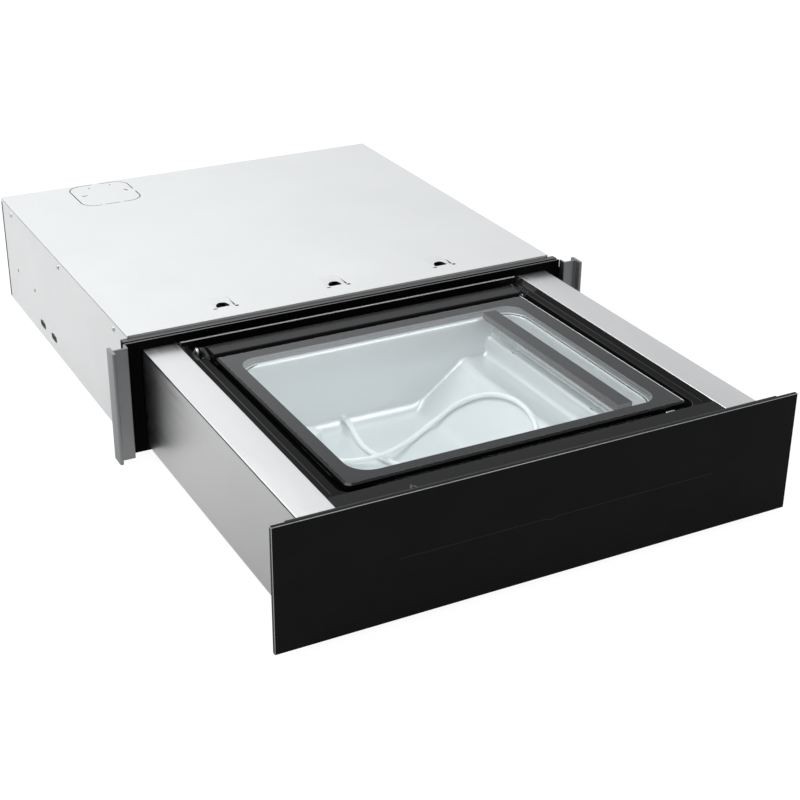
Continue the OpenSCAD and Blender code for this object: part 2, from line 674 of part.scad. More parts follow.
// Front: glass bonded to a folded steel carrier
carrier_top = front_top - 4;
module front_carrier() color("dimgray") at_mouth() translate([0, drawer_y0, 0]) difference() {
    block(-carrier_w / 2, carrier_w / 2, -carrier_d, 0, drawer_z0, carrier_top);
    block(-carrier_w / 2 + carrier_t, carrier_w / 2 - carrier_t, -carrier_d - cut, -carrier_t,
        drawer_z0 + carrier_t, carrier_top - carrier_t);
}
glass_edge = 0.8;
module front_glass() color([0.03, 0.03, 0.03]) at_mouth()
    translate([-front_w / 2, drawer_y0 - carrier_d, front_z]) rotate([90, 0, 90])
        linear_extrude(front_w) polygon([[0, 0], [0, front_h], [-front_glass_t + glass_edge, front_h],
            [-front_glass_t, front_h - glass_edge], [-front_glass_t, glass_edge],
            [-front_glass_t + glass_edge, 0]]);

// Control ledge with the touch board under its face
edge_break = 1.2;
module control_panel() color([0.2, 0.2, 0.2]) at_mouth() translate([-box_x0, 0, 0])
    rotate([90, 0, 90]) linear_extrude(2 * box_x0) polygon([[drawer_y0, drawer_z1],
        [ledge_y - edge_break, drawer_z1], [ledge_y, drawer_z1 - edge_break], [ledge_y, rim_top],
        [ledge_y - deck_t, rim_top], [ledge_y - deck_t, drawer_z1 - deck_t],
        [drawer_y0, drawer_z1 - deck_t]]);
board_t = 1.6;
touch_x0 = 53.75 - box_x0;
touch_w = 190;
module touch_board() color("darkgreen") at_mouth() {
    block(touch_x0, touch_x0 + touch_w, drawer_y0 + 4, ledge_y - deck_t - 2,
        drawer_z1 - deck_t - 3 - board_t, drawer_z1 - deck_t - 3);
    for (i = [0 : 5]) translate([touch_x0 + 30 + 24 * i, drawer_y0 + 14, drawer_z1 - deck_t - 3])
        cylinder(r = 5, h = 3);
    block(touch_x0 + 6, touch_x0 + 20, drawer_y0 + 6, drawer_y0 + 22, drawer_z1 - deck_t - 10,
        drawer_z1 - deck_t - 3 - board_t);
}

// Deck: moulded frame round the lid, with a raised hollow rim
hinge_bay_y = lid_y1 + 1;
seat_gap = chamber_t + 0.6;
fillet_w = 10;
fillet_n = 6;
module rim_fillet() translate([0, ledge_y, 0]) rotate([90, 0, 0]) mirror([0, 0, 1])
    linear_extrude(hinge_bay_y - ledge_y) polygon(concat([[box_x0, rim_z - 1]],
        [for (i = [0 : fillet_n]) let (t = 1 - i / fillet_n)
            [box_x0 - fillet_w * (1 - t), rim_z + (drawer_z1 - 0.3 - rim_z) * t * t]],
        [[box_x0 - fillet_w, rim_z - 1]]));
module deck_frame() color([0.08, 0.08, 0.08]) at_mouth() difference() {
    union() {
        block(-box_x0, box_x0, ledge_y, 0, rim_top, rim_z);
        both() rim_fillet();
    }
    // Well for the lid
    translate([0, 0, deck_z]) linear_extrude(deck_drop)
        front_round_rect(-well_w / 2, well_w / 2, ledge_y + deck_t, cut, well_r);
    // Low bay for the hinges
    block(-box_x0 - cut, box_x0 + cut, hinge_bay_y, cut, deck_z, rim_z + cut);
    // Hollow under the raised rims
    both() block(well_w / 2 + deck_t, box_x0 - deck_t, ledge_y + well_r, hinge_bay_y - deck_t,
        rim_top - cut, rim_z - deck_t);
    // Opening that the chamber hangs in
    translate([0, 0, rim_top - cut]) linear_extrude(deck_t + 2 * cut)
        round_rect(-chamber_w / 2 - seat_gap, chamber_w / 2 + seat_gap, chamber_y0 - seat_gap,
            chamber_y1 + seat_gap, chamber_r + seat_gap);
    block(tab_x - tab_w / 2 - 0.4, tab_x + tab_w / 2 + 0.4, tab_y - 0.4, tab_y + tab_d + 0.4,
        rim_top - cut, deck_z + cut);
}
// Bright steel strip that stiffens the deck's rear edge
rail_t = 1.5;
cover_slot_y = 34;
module rear_deck_rail() color("silver") at_mouth() {
    block(-box_x0 + 4.5, box_x0 - 4.5, 0, rail_t, rim_top, drawer_z1);
    block(-box_x0 + 4.5, box_x0 - 4.5, rail_t, 9, rim_top, rim_top + rail_t);
}
module pump_cover() color("silver") at_mouth() difference() {
    block(-box_x0, box_x0, 9, drawer_y1, rim_top, rim_top + pan_t);
    for (i = [0 : 14]) translate([83.75 - box_x0 + 14 * i, cover_slot_y, rim_top - cut])
        linear_extrude(pan_t + 2 * cut) rotate(90) slot(28, 5);
}

// Vacuum chamber: deep-drawn pan with a floor, a slope, a shelf and a ledge for the sealing bar
slope_a = atan2(shelf_z - floor_z, slope_x1 - slope_x0);
function chamber_points(g) = [[-chamber_w / 2 - g, seat_z + 2], [-chamber_w / 2 - g, seat_z],
    [-chamber_w / 2 + 5 - g, floor_z - g], [slope_x0 + g * tan(slope_a / 2), floor_z - g],
    [slope_x1 + g * tan(slope_a / 2), shelf_z - g], [shelf_x1 + g, shelf_z - g],
    [shelf_x1 + wall_draft + g, bar_ledge_z - g], [chamber_w / 2 - wall_draft + g, bar_ledge_z - g],
    [chamber_w / 2 + g, seat_z], [chamber_w / 2 + g, seat_z + 2]];
function chamber_radii(g) = [0, 0, 18 + g, 14 - g, 9 + g, 7 + g, 4 - g, 6 + g, 0, 0];
module chamber_space(g) intersection() {
    translate([0, chamber_y0 - g, 0]) rotate([90, 0, 0]) mirror([0, 0, 1])
        linear_extrude(chamber_d + 2 * g)
            polygon(rounded(chamber_points(g), chamber_radii(g), corner_n));
    translate([0, 0, floor_z - g]) linear_extrude(chamber_h + g + 2)
        round_rect(-chamber_w / 2 - g, chamber_w / 2 + g, chamber_y0 - g, chamber_y1 + g,
            chamber_r + g);
    translate([-chamber_w / 2 - g, 0, 0]) rotate([90, 0, 90]) linear_extrude(chamber_w + 2 * g)
        polygon(rounded([[chamber_y0 - g, floor_z - g], [wall_y + g, floor_z - g],
            [wall_y + g, flare_z], [chamber_y1 + g, seat_z], [chamber_y1 + g, seat_z + 2],
            [chamber_y0 - g, seat_z + 2]], [floor_r + g, floor_r + g, 60, 0, 0, 0], corner_n));
}
module vacuum_chamber() color([0.75, 0.8, 0.82]) at_mouth() difference() {
    union() {
        intersection() {
            chamber_space(chamber_t);
            block(-chamber_w, chamber_w, chamber_y0 - 9, chamber_y1 + 9, 0, seat_z);
        }
        translate([0, 0, deck_z]) linear_extrude(chamber_t)
            round_rect(-chamber_w / 2 - rim_w, chamber_w / 2 + rim_w, chamber_y0 - rim_w,
                chamber_y1 + rim_w, chamber_r + rim_w - 2);
    }
    chamber_space(0);
    translate([port_x, wall_y, port_z]) rod_y(5, -3 - cut, chamber_t + cut);
    for (s = [-1, 1]) translate([bar_x, bar_y_mid + s * rod_pitch / 2, bar_ledge_z])
        cylinder(r = rod_r + 0.1, h = 3 * chamber_t, center = true);
}
// Silicone seal round the chamber's rim, a wide foot with a narrower lip
module seal_ring(g, w, z0, z1) translate([0, 0, z0]) linear_extrude(z1 - z0) difference() {
    round_rect(-chamber_w / 2 - g - w, chamber_w / 2 + g + w, chamber_y0 - g - w,
        chamber_y1 + g + w, chamber_r + g + w - 2);
    round_rect(-chamber_w / 2 - g, chamber_w / 2 + g, chamber_y0 - g, chamber_y1 + g,
        chamber_r + g - 2);
}
module lid_seal() color([0.12, 0.12, 0.12]) at_mouth() {
    seal_ring(seal_gap, seal_w, seat_z, seat_z + seal_foot_h);
    seal_ring(seal_gap + seal_w / 2 - 1.6, 3.2, seat_z + seal_foot_h, lid_under - touch);
}

// Suction port through the chamber's rear wall
module suction_port() color("white") at_mouth() translate([port_x, wall_y, port_z])
    difference() {
        union() {
            rod_y(4.95, -3, chamber_t + 1);
            rod_y(port_r, -port_len, -3);
            rod_y(7, chamber_t, chamber_t + 3);
            rod_y(3.2, chamber_t + 3, chamber_t + 20);
        }
        rod_y(1.8, -port_len - cut, chamber_t + 20 + cut);
    }

// Loose hose: a tube swept along its own points
function spline(p, i, t) = let (n = len(p) - 1, a = p[max(i - 1, 0)], b = p[i], c = p[min(i + 1, n)],
    d = p[min(i + 2, n)]) 0.5 * (2 * b + (c - a) * t + (2 * a - 5 * b + 4 * c - d) * t * t +
    (3 * b - a - 3 * c + d) * t * t * t);
function fine(p, k) = [for (i = [0 : len(p) - 2], j = [0 : k - 1]) spline(p, i, j / k), p[len(p) - 1]];
function heading(p, i) = unit(p[min(i + 1, len(p) - 1)] - p[max(i - 1, 0)]);
function ring(c, d, r, n) = let (s = unit(cross(d, [0, 0, 1])), u = cross(s, d))
    [for (k = [0 : n - 1]) c + r * (cos(360 * k / n) * s + sin(360 * k / n) * u)];
function run_length(p, i = 0) = i >= len(p) - 1 ? 0 : norm(p[i + 1] - p[i]) + run_length(p, i + 1);
module tube(p, r, n) {
    m = len(p);
    pts = [for (i = [0 : m - 1]) each ring(p[i], heading(p, i), r, n)];
    sides = [for (i = [0 : m - 2], k = [0 : n - 1]) let (a = i * n + k, b = i * n + (k + 1) % n)
        each [[a, b, b + n], [a, b + n, a + n]]];
    ends = [for (k = [1 : n - 2]) each [[0, k + 1, k],
        [(m - 1) * n, (m - 1) * n + k, (m - 1) * n + k + 1]]];
    polyhedron(pts, concat(sides, ends));
}
hose_line = fine(HOSE, 2);
hose_length = run_length(hose_line);
module hose() color([0.86, 0.89, 0.89]) at_mouth() {
    echo(hose_length = hose_length, rings = len(hose_line));
    tube(hose_line, hose_dia / 2, 8);
}
// Container cap on the hose's end
module hose_cap() color([0.8, 0.84, 0.84]) at_mouth()
    translate([cap_at[0], cap_at[1], floor_z]) difference() {
        union() {
            cylinder(r = cap_r, h = 5);
            translate([0, 0, 5]) cylinder(r1 = cap_r - 1, r2 = cap_r - 4, h = cap_h - 5);
            translate([0, 0, spout_z - floor_z]) rod_y(3.6, -26, -10);
        }
        translate([0, 0, -cut]) cylinder(r = cap_r - 2.5, h = 4 + cut);
    }

// Lift cylinders under the sealing bar's ledge
module lift_cylinders() color("gray") at_mouth() for (s = [-1, 1])
    translate([bar_x, bar_y_mid + s * rod_pitch / 2, bar_ledge_z - chamber_t - cylinder_h])
        difference() {
            union() {
                cylinder(r = cylinder_r, h = cylinder_h);
                translate([cylinder_r - 2, 0, 7]) rod_x(2.6, 0, 10);
            }
            translate([0, 0, cylinder_wall]) cylinder(r = cylinder_r - cylinder_wall,
                h = cylinder_h - 2 * cylinder_wall - 1);
            cylinder(r = rod_r + running, h = 2 * cylinder_h);
            translate([0, 0, 7]) rod_x(1.4, 0, 20);
        }
module lift_rods() color("silver") at_mouth() for (s = [-1, 1])
    translate([bar_x, bar_y_mid + s * rod_pitch / 2, 0]) {
        piston_z = bar_ledge_z - chamber_t - cylinder_h + cylinder_wall + 4;
        translate([0, 0, piston_z]) cylinder(r = rod_r, h = bar_z0 - piston_z);
        translate([0, 0, piston_z]) cylinder(r = cylinder_r - cylinder_wall - running, h = piston_h);
    }
// Heated sealing bar, and the release tape over its wire
module sealing_bar() color("silver") at_mouth() difference() {
    block(bar_x - bar_w / 2, bar_x + bar_w / 2, bar_y_mid - bar_len / 2, bar_y_mid + bar_len / 2,
        bar_z0, bar_z0 + bar_h - 0.5);
    for (s = [-1, 1]) block(bar_x + s * bar_w / 2 - 1, bar_x + s * bar_w / 2 + 1,
        bar_y_mid - bar_len / 2 + 6, bar_y_mid + bar_len / 2 - 6, bar_z0 + 3, bar_z0 + 5);
}
module sealing_tape() color([0.55, 0.4, 0.25]) at_mouth()
    block(bar_x - bar_w / 2 + 1, bar_x + bar_w / 2 - 1, bar_y_mid - bar_len / 2,
        bar_y_mid + bar_len / 2, bar_z0 + bar_h - 0.5, bar_z0 + bar_h);

// Lid: glass, hinge bar, arms and counter bar
module at_lid() at_mouth() translate([0, pivot_y, pivot_z]) rotate([-lid_rest, 0, 0])
    translate([0, -pivot_y, -pivot_z]) children();
module lid_glass() color([0.4, 0.45, 0.47, 0.5]) at_lid() {
    translate([0, 0, lid_under]) linear_extrude(lid_t - glass_edge)
        front_round_rect(-lid_w / 2, lid_w / 2, lid_y0, lid_y1, lid_r);
    translate([0, 0, lid_top - glass_edge]) linear_extrude(glass_edge)
        front_round_rect(-lid_w / 2 + glass_edge, lid_w / 2 - glass_edge, lid_y0 + glass_edge,
            lid_y1 - glass_edge, lid_r);
}
module hinge_bar() color([0.25, 0.25, 0.26]) at_lid() translate([-hinge_bar_w / 2, 0, 0])
    rotate([90, 0, 90]) linear_extrude(hinge_bar_w) polygon(rounded(
        [[bar_y0 - tongue_d, lid_under - tongue_t], [bar_y1, lid_under - tongue_t],
            [bar_y1, drawer_z1 - bar_rear_drop], [bar_y1 - 12, drawer_z1], [bar_y0, drawer_z1],
            [bar_y0, lid_under], [bar_y0 - tongue_d, lid_under]],
        [0, 2, 3, 20, 1.2, 0, 0], 4));
module hinge_arm() difference() {
    union() {
        translate([0, pivot_y, pivot_z]) rod_x(arm_hub_r, arm_x0, arm_x0 + arm_t);
        translate([arm_x0, 0, 0]) rotate([90, 0, 90]) linear_extrude(arm_t) polygon(rounded(
            [[pivot_y, pivot_z - 5], [pivot_y + 4, pivot_z + 5], [pivot_y - 8, drawer_z1 - 0.5],
                [bar_y0 + 9, drawer_z1 - 4], [bar_y0 + 2, lid_under],
                [bar_y0 + 8, lid_under - 4]], [0, 0, 6, 8, 2, 4], 4));
        for (y = [pivot_y - 10, bar_y0 + 9]) translate([0, y, lid_under + 1])
            rod_x(link_r, hinge_bar_w / 2, arm_x0);
    }
    translate([0, pivot_y, pivot_z]) rod_x(pin_r + running, arm_x0 - cut, arm_x0 + arm_t + cut);
}
module hinge_arms() color("silver") at_lid() both() hinge_arm();
module counter_bar() color([0.3, 0.29, 0.3]) at_lid() difference() {
    block(counter_x - counter_w / 2, counter_x + counter_w / 2, bar_y_mid - counter_len / 2,
        bar_y_mid + counter_len / 2, counter_z0, lid_under);
    for (i = [-1, 1]) block(counter_x + i * counter_w / 2 - 1.5, counter_x + i * counter_w / 2 + 1.5,
        bar_y_mid - counter_len, bar_y_mid + counter_len, counter_z0 - cut, counter_z0 + 2);
}
// Brackets screwed to the deck, and the pins pressed into them
module hinge_bracket() difference() {
    union() {
        block(bracket_x0, bracket_x0 + bracket_t, pivot_y - bracket_r, pivot_y + bracket_r,
            deck_z, pivot_z);
        translate([0, pivot_y, pivot_z]) rod_x(bracket_r, bracket_x0, bracket_x0 + bracket_t);
        block(bracket_x0, box_x0, pivot_y - 17, pivot_y + 12, deck_z, deck_z + bracket_foot);
        for (y = [pivot_y - 12, pivot_y + 9]) translate([bracket_x0 + 10, y, deck_z + bracket_foot])
            intersection() {
                translate([0, 0, -2.4]) sphere(r = 3.6);
                cylinder(r = 3, h = 2);
            }
    }
    translate([0, pivot_y, pivot_z]) rod_x(pin_r, bracket_x0 - cut, bracket_x0 + bracket_t + cut);
}
module hinge_brackets() color("dimgray") at_mouth() both() hinge_bracket();
module hinge_pins() color("silver") at_mouth() both() translate([0, pivot_y, pivot_z]) {
    head_x0 = arm_x0 - 1.5;
    rod_x(pin_r, head_x0 + 0.5, head_x0 + pin_len);
    rod_x(pin_r + 1.5, head_x0, head_x0 + 1.4);
}

// Lid switch: a sprung tab in front of the lid, in its body under the deck
tab_x = lid_w / 2 - 24.5;
tab_w = 11;
tab_d = 3;
tab_y = ledge_y + 4;
tab_travel = 3;
module lid_switch_tab() color("silver") at_mouth()
    block(tab_x - tab_w / 2, tab_x + tab_w / 2, tab_y, tab_y + tab_d, rim_top - 8, rim_z - 0.5);
module lid_switch_body() color([0.1, 0.1, 0.1]) at_mouth() difference() {
    block(tab_x - tab_w / 2 - 4, tab_x + tab_w / 2 + 4, tab_y - 1.5, tab_y + tab_d + 6,
        rim_top - 16, rim_top);
    block(tab_x - tab_w / 2 - 0.3, tab_x + tab_w / 2 + 0.3, tab_y - 0.3, tab_y + tab_d + 0.3,
        rim_top - 8 - tab_travel - 0.5, rim_top + cut);
}

// Pump group behind the chamber, along X
pump_y = wall_y + pump_bay / 2 + 3.5;
foot_z = drawer_z0 + pan_t + 5;
pad_z = foot_z + 4;
pump_z = pad_z + touch + motor_r;
motor_x0 = -34;
motor_x1 = motor_x0 + motor_len;
module at_pump() at_mouth() translate([0, pump_y, pump_z]) children();
module pump_bracket() color("silver") at_mouth() {
    block(motor_x0 - 88, motor_x1, pump_y - 34, pump_y + 34, foot_z, foot_z + 2);
    for (x = [motor_x0 - 60, motor_x0 - 20, motor_x0 + 20, motor_x1 - 20])
        block(x - 8, x + 8, pump_y - 20, pump_y + 20, foot_z + 2, pad_z);
}
module pump_mounts() color([0.1, 0.1, 0.1]) at_mouth()
    for (x = [motor_x0 - 78, motor_x1 - 10], y = [pump_y - 26, pump_y + 26])
        translate([x, y, drawer_z0 + pan_t]) cylinder(r = 6, h = foot_z - drawer_z0 - pan_t);
module pump_motor() color([0.35, 0.36, 0.38]) at_pump() difference() {
    union() {
        rod_x(motor_r, motor_x0, motor_x1);
        rod_x(motor_r - 8, motor_x1, motor_x1 + 4);
        for (x = [motor_x0 + 20, motor_x1 - 20]) block(x - 8, x + 8, -20, 20,
            pad_z - pump_z, -motor_r + 6);
        block(motor_x0 + 25, motor_x0 + 65, -16, 16, motor_r - 4, motor_r + 5);
    }
    rod_x(shaft_r + running, motor_x0 - cut, motor_x1 + 5);
}
fin_n = 5;
module pump_head() color([0.6, 0.61, 0.63]) at_pump() difference() {
    union() {
        rod_x(motor_r - 6, motor_x0 - 84, motor_x0);
        block(motor_x0 - 70, motor_x0 - 14, -24, 24, 0, 34);
        for (i = [0 : fin_n - 1]) block(motor_x0 - 74, motor_x0 - 10, -28, 28, 14 + i * 5, 16 + i * 5);
        for (x = [motor_x0 - 60, motor_x0 - 20]) block(x - 8, x + 8, -20, 20,
            pad_z - pump_z, -motor_r + 12);
        translate([motor_x0 - 60, 0, 26]) rod_y(4, -40, -24);
        translate([motor_x0 - 26, 0, 26]) rod_y(4, -34, -24);
    }
    rod_x(shaft_r + running, motor_x0 - 50, motor_x0 + cut);
    translate([motor_x0 - 60, 0, 26]) rod_y(2, -40 - cut, -20);
}
fan_x = motor_x1 + 7;
module pump_shaft() color("silver") at_pump() rod_x(shaft_r, motor_x0 - 46, fan_x + 12);
module pump_fan() color([0.15, 0.15, 0.15]) at_pump() difference() {
    union() {
        rod_x(11, fan_x, fan_x + 12);
        for (a = [0 : 45 : 315]) rotate([a, 0, 0]) translate([fan_x + 6, 0, 9])
            rotate([0, 0, 28]) translate([-6.5, -0.8, 0]) cube([13, 1.6, fan_r - 9.5]);
    }
    rod_x(shaft_r, fan_x - cut, fan_x + 13);
}
module fan_cowl() color([0.1, 0.1, 0.1]) at_pump() difference() {
    rod_x(motor_r + 1.2, motor_x1 - 10, fan_x + 20);
    rod_x(motor_r, motor_x1 - 10 - cut, fan_x + 17);
    for (i = [1 : 3], a = [0 : 60 / i : 359]) rotate([a, 0, 0]) translate([0, 0, 9 * i])
        rod_x(2.6, fan_x + 16, fan_x + 21);
}

// Valve block, and the pipe from the chamber's port to the pump
valve_y = wall_y + chamber_t + 14;
module vent_valve() color("ivory") at_mouth() translate([port_x, valve_y, port_z]) {
    difference() {
        block(-12, 12, 0, 18, -14, 14);
        rod_y(3.25, -cut, 8);
        translate([0, 9, 0]) rod_x(3.25, -13, -4);
    }
    translate([0, 9, 14]) cylinder(r = 8, h = 16);
    block(-9, 9, 2, 16, -14 - (port_z - 14 - drawer_z0 - pan_t), -14);
}
pipe_r = 3.2;
pipe_x = motor_x0 - 60;
module vacuum_pipe() color([0.2, 0.2, 0.22]) at_mouth() {
    y0 = valve_y + 9;
    z1 = pump_z + 26;
    translate([0, y0, port_z]) rod_x(pipe_r, pipe_x, port_x - 6);
    translate([pipe_x, y0, port_z]) sphere(r = pipe_r);
    translate([pipe_x, y0, port_z]) cylinder(r = pipe_r, h = z1 - port_z);
    translate([pipe_x, y0, z1]) sphere(r = pipe_r);
    translate([pipe_x, 0, z1]) rod_y(pipe_r, y0, pump_y - 40);
}

// Control board beside the pump
board_w = 102;
board_x = box_x0 - 9.75 - board_w / 2;
board_d = pump_bay - 21;
board_y = wall_y + 13 + board_d / 2;
board_z = drawer_z0 + pan_t + 10;
module control_board() color("darkgreen") at_mouth() translate([board_x, board_y, board_z]) {
    for (x = [-1, 1], y = [-1, 1])
        translate([x * (board_w / 2 - 6), y * (board_d / 2 - 6), -10]) cylinder(r = 3, h = 10);
    block(-board_w / 2, board_w / 2, -board_d / 2, board_d / 2, 0, board_t);
    block(-33, -3, -41, -11, board_t, 26);
    block(9, 37, -43, -1, board_t, 18);
    for (i = [0 : 3]) translate([-29 + 20 * i, board_d / 2 - 24, board_t]) cylinder(r = 7, h = 22);
}

base_tray();
top_cover();
rear_panel();
front_frame();
trim_left();
trim_right();
cover_screws();
runner_bracket_left();
runner_bracket_right();
runner_fixed_left();
runner_fixed_right();
mains_inlet();
terminal_block();
mains_filter();
sealing_transformer();
push_latch_body();
push_latch_plunger();
runner_mid_left();
runner_mid_right();
side_box_left();
side_box_right();
base_pan();
rear_plate();
front_carrier();
front_glass();
control_panel();
touch_board();
deck_frame();
rear_deck_rail();
pump_cover();
vacuum_chamber();
lid_seal();
suction_port();
lift_cylinders();
hinge_brackets();
hinge_pins();
runner_inner_left();
runner_inner_right();
pump_bracket();
pump_mounts();
pump_motor();
pump_head();
fan_cowl();
vent_valve();
vacuum_pipe();
control_board();
lid_switch_body();
hose();
hose_cap();
pump_shaft();
pump_fan();
lid_glass();
hinge_bar();
hinge_arms();
counter_bar();
sealing_bar();
sealing_tape();
lift_rods();
lid_switch_tab();
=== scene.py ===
import json
import math

import bmesh
import bpy
from mathutils import Matrix, Vector

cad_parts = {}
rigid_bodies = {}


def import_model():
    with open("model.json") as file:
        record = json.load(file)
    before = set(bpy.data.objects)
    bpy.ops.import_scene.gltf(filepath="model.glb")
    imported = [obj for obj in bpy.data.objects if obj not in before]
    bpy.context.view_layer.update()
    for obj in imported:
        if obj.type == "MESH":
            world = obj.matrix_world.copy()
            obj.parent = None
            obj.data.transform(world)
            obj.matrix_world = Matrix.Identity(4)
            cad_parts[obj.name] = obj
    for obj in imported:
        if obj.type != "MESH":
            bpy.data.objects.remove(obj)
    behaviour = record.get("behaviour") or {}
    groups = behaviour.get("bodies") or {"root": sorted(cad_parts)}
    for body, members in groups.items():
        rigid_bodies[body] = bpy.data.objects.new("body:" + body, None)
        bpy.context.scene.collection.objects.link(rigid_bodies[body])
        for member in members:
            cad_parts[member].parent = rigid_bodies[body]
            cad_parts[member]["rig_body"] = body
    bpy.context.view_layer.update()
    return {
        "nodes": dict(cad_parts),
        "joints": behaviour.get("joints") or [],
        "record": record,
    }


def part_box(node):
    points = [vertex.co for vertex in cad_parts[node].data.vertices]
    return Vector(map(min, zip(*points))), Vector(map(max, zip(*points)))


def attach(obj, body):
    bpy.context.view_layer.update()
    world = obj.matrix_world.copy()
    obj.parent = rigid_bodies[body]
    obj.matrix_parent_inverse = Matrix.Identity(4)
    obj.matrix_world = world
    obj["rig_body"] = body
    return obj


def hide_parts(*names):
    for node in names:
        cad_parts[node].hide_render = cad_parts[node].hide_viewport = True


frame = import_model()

bl_info = {
    "name": "Vacuum sealing drawer",
    "version": (1, 0, 0),
    "blender": (4, 5, 0),
    "location": "3D View > Sidebar > Drawer",
    "description": "Dresses the packed CAD model of a built-in vacuum sealing drawer",
    "category": "Object",
}

NODES = frame["nodes"]
SLOTS = {part["node"]: part["material_slot"] for part in frame["record"]["subparts"]}
HINGE = next(joint for joint in frame["joints"] if joint["name"] == "lid_hinge")
SIDES = (("left", -1), ("right", 1))
MM = 0.001
# The mouth of the housing, from which the drawer's places are counted, in millimetres
MOUTH_Y = -274.5
# Edges bent by more than the first angle get a bevel, facets within the second are joined
BEVEL_FROM, JOIN_WITHIN = math.radians(35), math.radians(1)
# Distances at which points are one and the same: drawn ones in millimetres, packed ones in metres
DRAWN_WELD, PACKED_WELD = 1e-4, 2e-6


# Sizes and colours that a user would change
def size_property(name, description, default, low, high):
    """A length in metres."""
    return bpy.props.FloatProperty(name=name, description=description, default=default, min=low,
                                   max=high, unit="LENGTH")


def linear(value):
    """An sRGB hex colour such as "#C8D0D0" as linear RGBA."""
    channels = [int(value[i:i + 2], 16) / 255 for i in (1, 3, 5)]
    return tuple(c / 12.92 if c <= 0.04045 else ((c + 0.055) / 1.055) ** 2.4
                 for c in channels) + (1.0,)


def colour_property(name, description, value):
    """A colour, given as an sRGB hex value."""
    return bpy.props.FloatVectorProperty(name=name, description=description, subtype="COLOR",
                                         size=4, min=0, max=1, default=linear(value))


class DrawerSizes(bpy.types.PropertyGroup):
    """Sizes that the looks add to the CAD model."""

    hose_diameter: size_property(
        "Hose diameter", "Outside diameter of the loose hose", 0.006, 0.004, 0.008)
    glass_edge: size_property(
        "Glass edge", "Width of the ground edge round the front glass", 0.0005, 0.0003, 0.0015)
    lid_edge: size_property(
        "Lid edge", "Depth of the slope ground on the lid glass's top edge", 0.0013, 0.0004, 0.002)
    window_radius: size_property(
        "Window radius", "Corner radius of the clear window in the lid's print", 0.02, 0.005, 0.03)
    chamber_voxel: size_property(
        "Chamber detail", "Mesh size with which the chamber is smoothed", 0.0025, 0.0015, 0.005)
    screw_head: size_property(
        "Screw head", "Diameter of the housing's screw heads", 0.0068, 0.004, 0.009)
    ball_diameter: size_property(
        "Runner ball", "Diameter of the balls in the runners", 0.0032, 0.002, 0.004)


class DrawerColours(bpy.types.PropertyGroup):
    """Colours of the finishes that show."""

    housing: colour_property("Housing", "Galvanised sheet of the housing", "#E2E3E3")
    side_box: colour_property("Side box", "Brushed steel of the drawer's side boxes", "#ECECEC")
    trim: colour_property("Trim", "Anodised aluminium of the side trims", "#9C9D9E")
    front: colour_property("Front glass", "Paint behind the front glass", "#1B1B1B")
    deck: colour_property("Deck", "Moulded deck round the lid", "#161616")
    ledge: colour_property("Ledge", "Control ledge behind the front", "#232323")
    border: colour_property("Lid print", "Print under the lid's border", "#0B0B0C")
    chamber: colour_property("Chamber", "Satin steel of the chamber", "#E7EAEB")
    seal: colour_property("Seal", "Silicone of the lid seal", "#77777A")
    hose: colour_property("Hose", "Loose hose and its cap", "#FDFFFF")


# Mesh helpers, in millimetres
def rounded(points, radii, steps=5):
    """The outline with each corner rounded by its own radius."""
    out = []
    for i, (x, y) in enumerate(points):
        r = radii[i] if isinstance(radii, list) else radii
        if r <= 0:
            out.append((x, y))
            continue
        corner = Vector((x, y))
        u = (Vector(points[i - 1]) - corner).normalized()
        v = (Vector(points[(i + 1) % len(points)]) - corner).normalized()
        half = math.acos(max(-1, min(1, u.dot(v)))) / 2
        middle = corner + (u + v).normalized() * r / math.sin(half)
        a = corner + u * r / math.tan(half) - middle
        b = corner + v * r / math.tan(half) - middle
        for k in range(steps + 1):
            out.append(tuple(middle + a.lerp(b, k / steps).normalized() * r))
    return out


def around(steps):
    """The angles of a full turn in equal steps."""
    return [2 * math.pi * k / steps for k in range(steps)]


def rectangle(x0, x1, y0, y1, inset=0):
    x0, x1, y0, y1 = x0 + inset, x1 - inset, y0 + inset, y1 - inset
    return [(x0, y0), (x1, y0), (x1, y1), (x0, y1)]


def bridge(bm, low, high):
    """Faces from ring to ring; a ring of one point makes a tip."""
    faces = []
    for k in range(max(len(low), len(high))):
        corners = (low[k % len(low)], low[(k + 1) % len(low)], high[(k + 1) % len(high)],
                   high[k % len(high)])
        faces.append(bm.faces.new(list(dict.fromkeys(corners))))
    return faces


PLANES = {"X": lambda t, a, b: (t, a, b), "Y": lambda t, a, b: (a, t, b),
          "Z": lambda t, a, b: (a, b, t)}


def prism(bm, outline, along, start, end):
    """Extrudes a flat outline along X (outline in y, z), Y (x, z) or Z (x, y)."""
    first, last = [[bm.verts.new(PLANES[along](t, *p)) for p in outline] for t in (start, end)]
    return [bm.faces.new(first), bm.faces.new(last[::-1]), *bridge(bm, last, first)]


def block(bm, x0, x1, y0, y1, z0, z1):
    return prism(bm, rectangle(x0, x1, y0, y1), "Z", z0, z1)


def drawn(*shape):
    """A drawing of one prism."""
    bm = bmesh.new()
    prism(bm, *shape)
    return bm


def turned(bm, centre, along, profile, steps):
    """Turns a profile of (distance along the axis, radius) round an axis through centre."""
    rings = []
    for t, r in profile:
        rings.append([bm.verts.new(Vector(centre) + Vector(
            PLANES[along](t, r * math.cos(a), r * math.sin(a))))
            for a in around(steps if r else 1)])
    for low, high in zip(rings, rings[1:]):
        bridge(bm, high, low)
    for ring in (rings[0], rings[-1]):
        if len(ring) > 1:
            bm.faces.new(ring)


def ring_prism(bm, outer, inner, low, high):
    """A flat ring along Z between two outlines of the same count."""
    rings = [[bm.verts.new((x, y, z)) for x, y in outline]
             for outline, z in ((outer, low), (outer, high), (inner, high), (inner, low))]
    for a, b in zip(rings, rings[1:] + rings[:1]):
        bridge(bm, a, b)


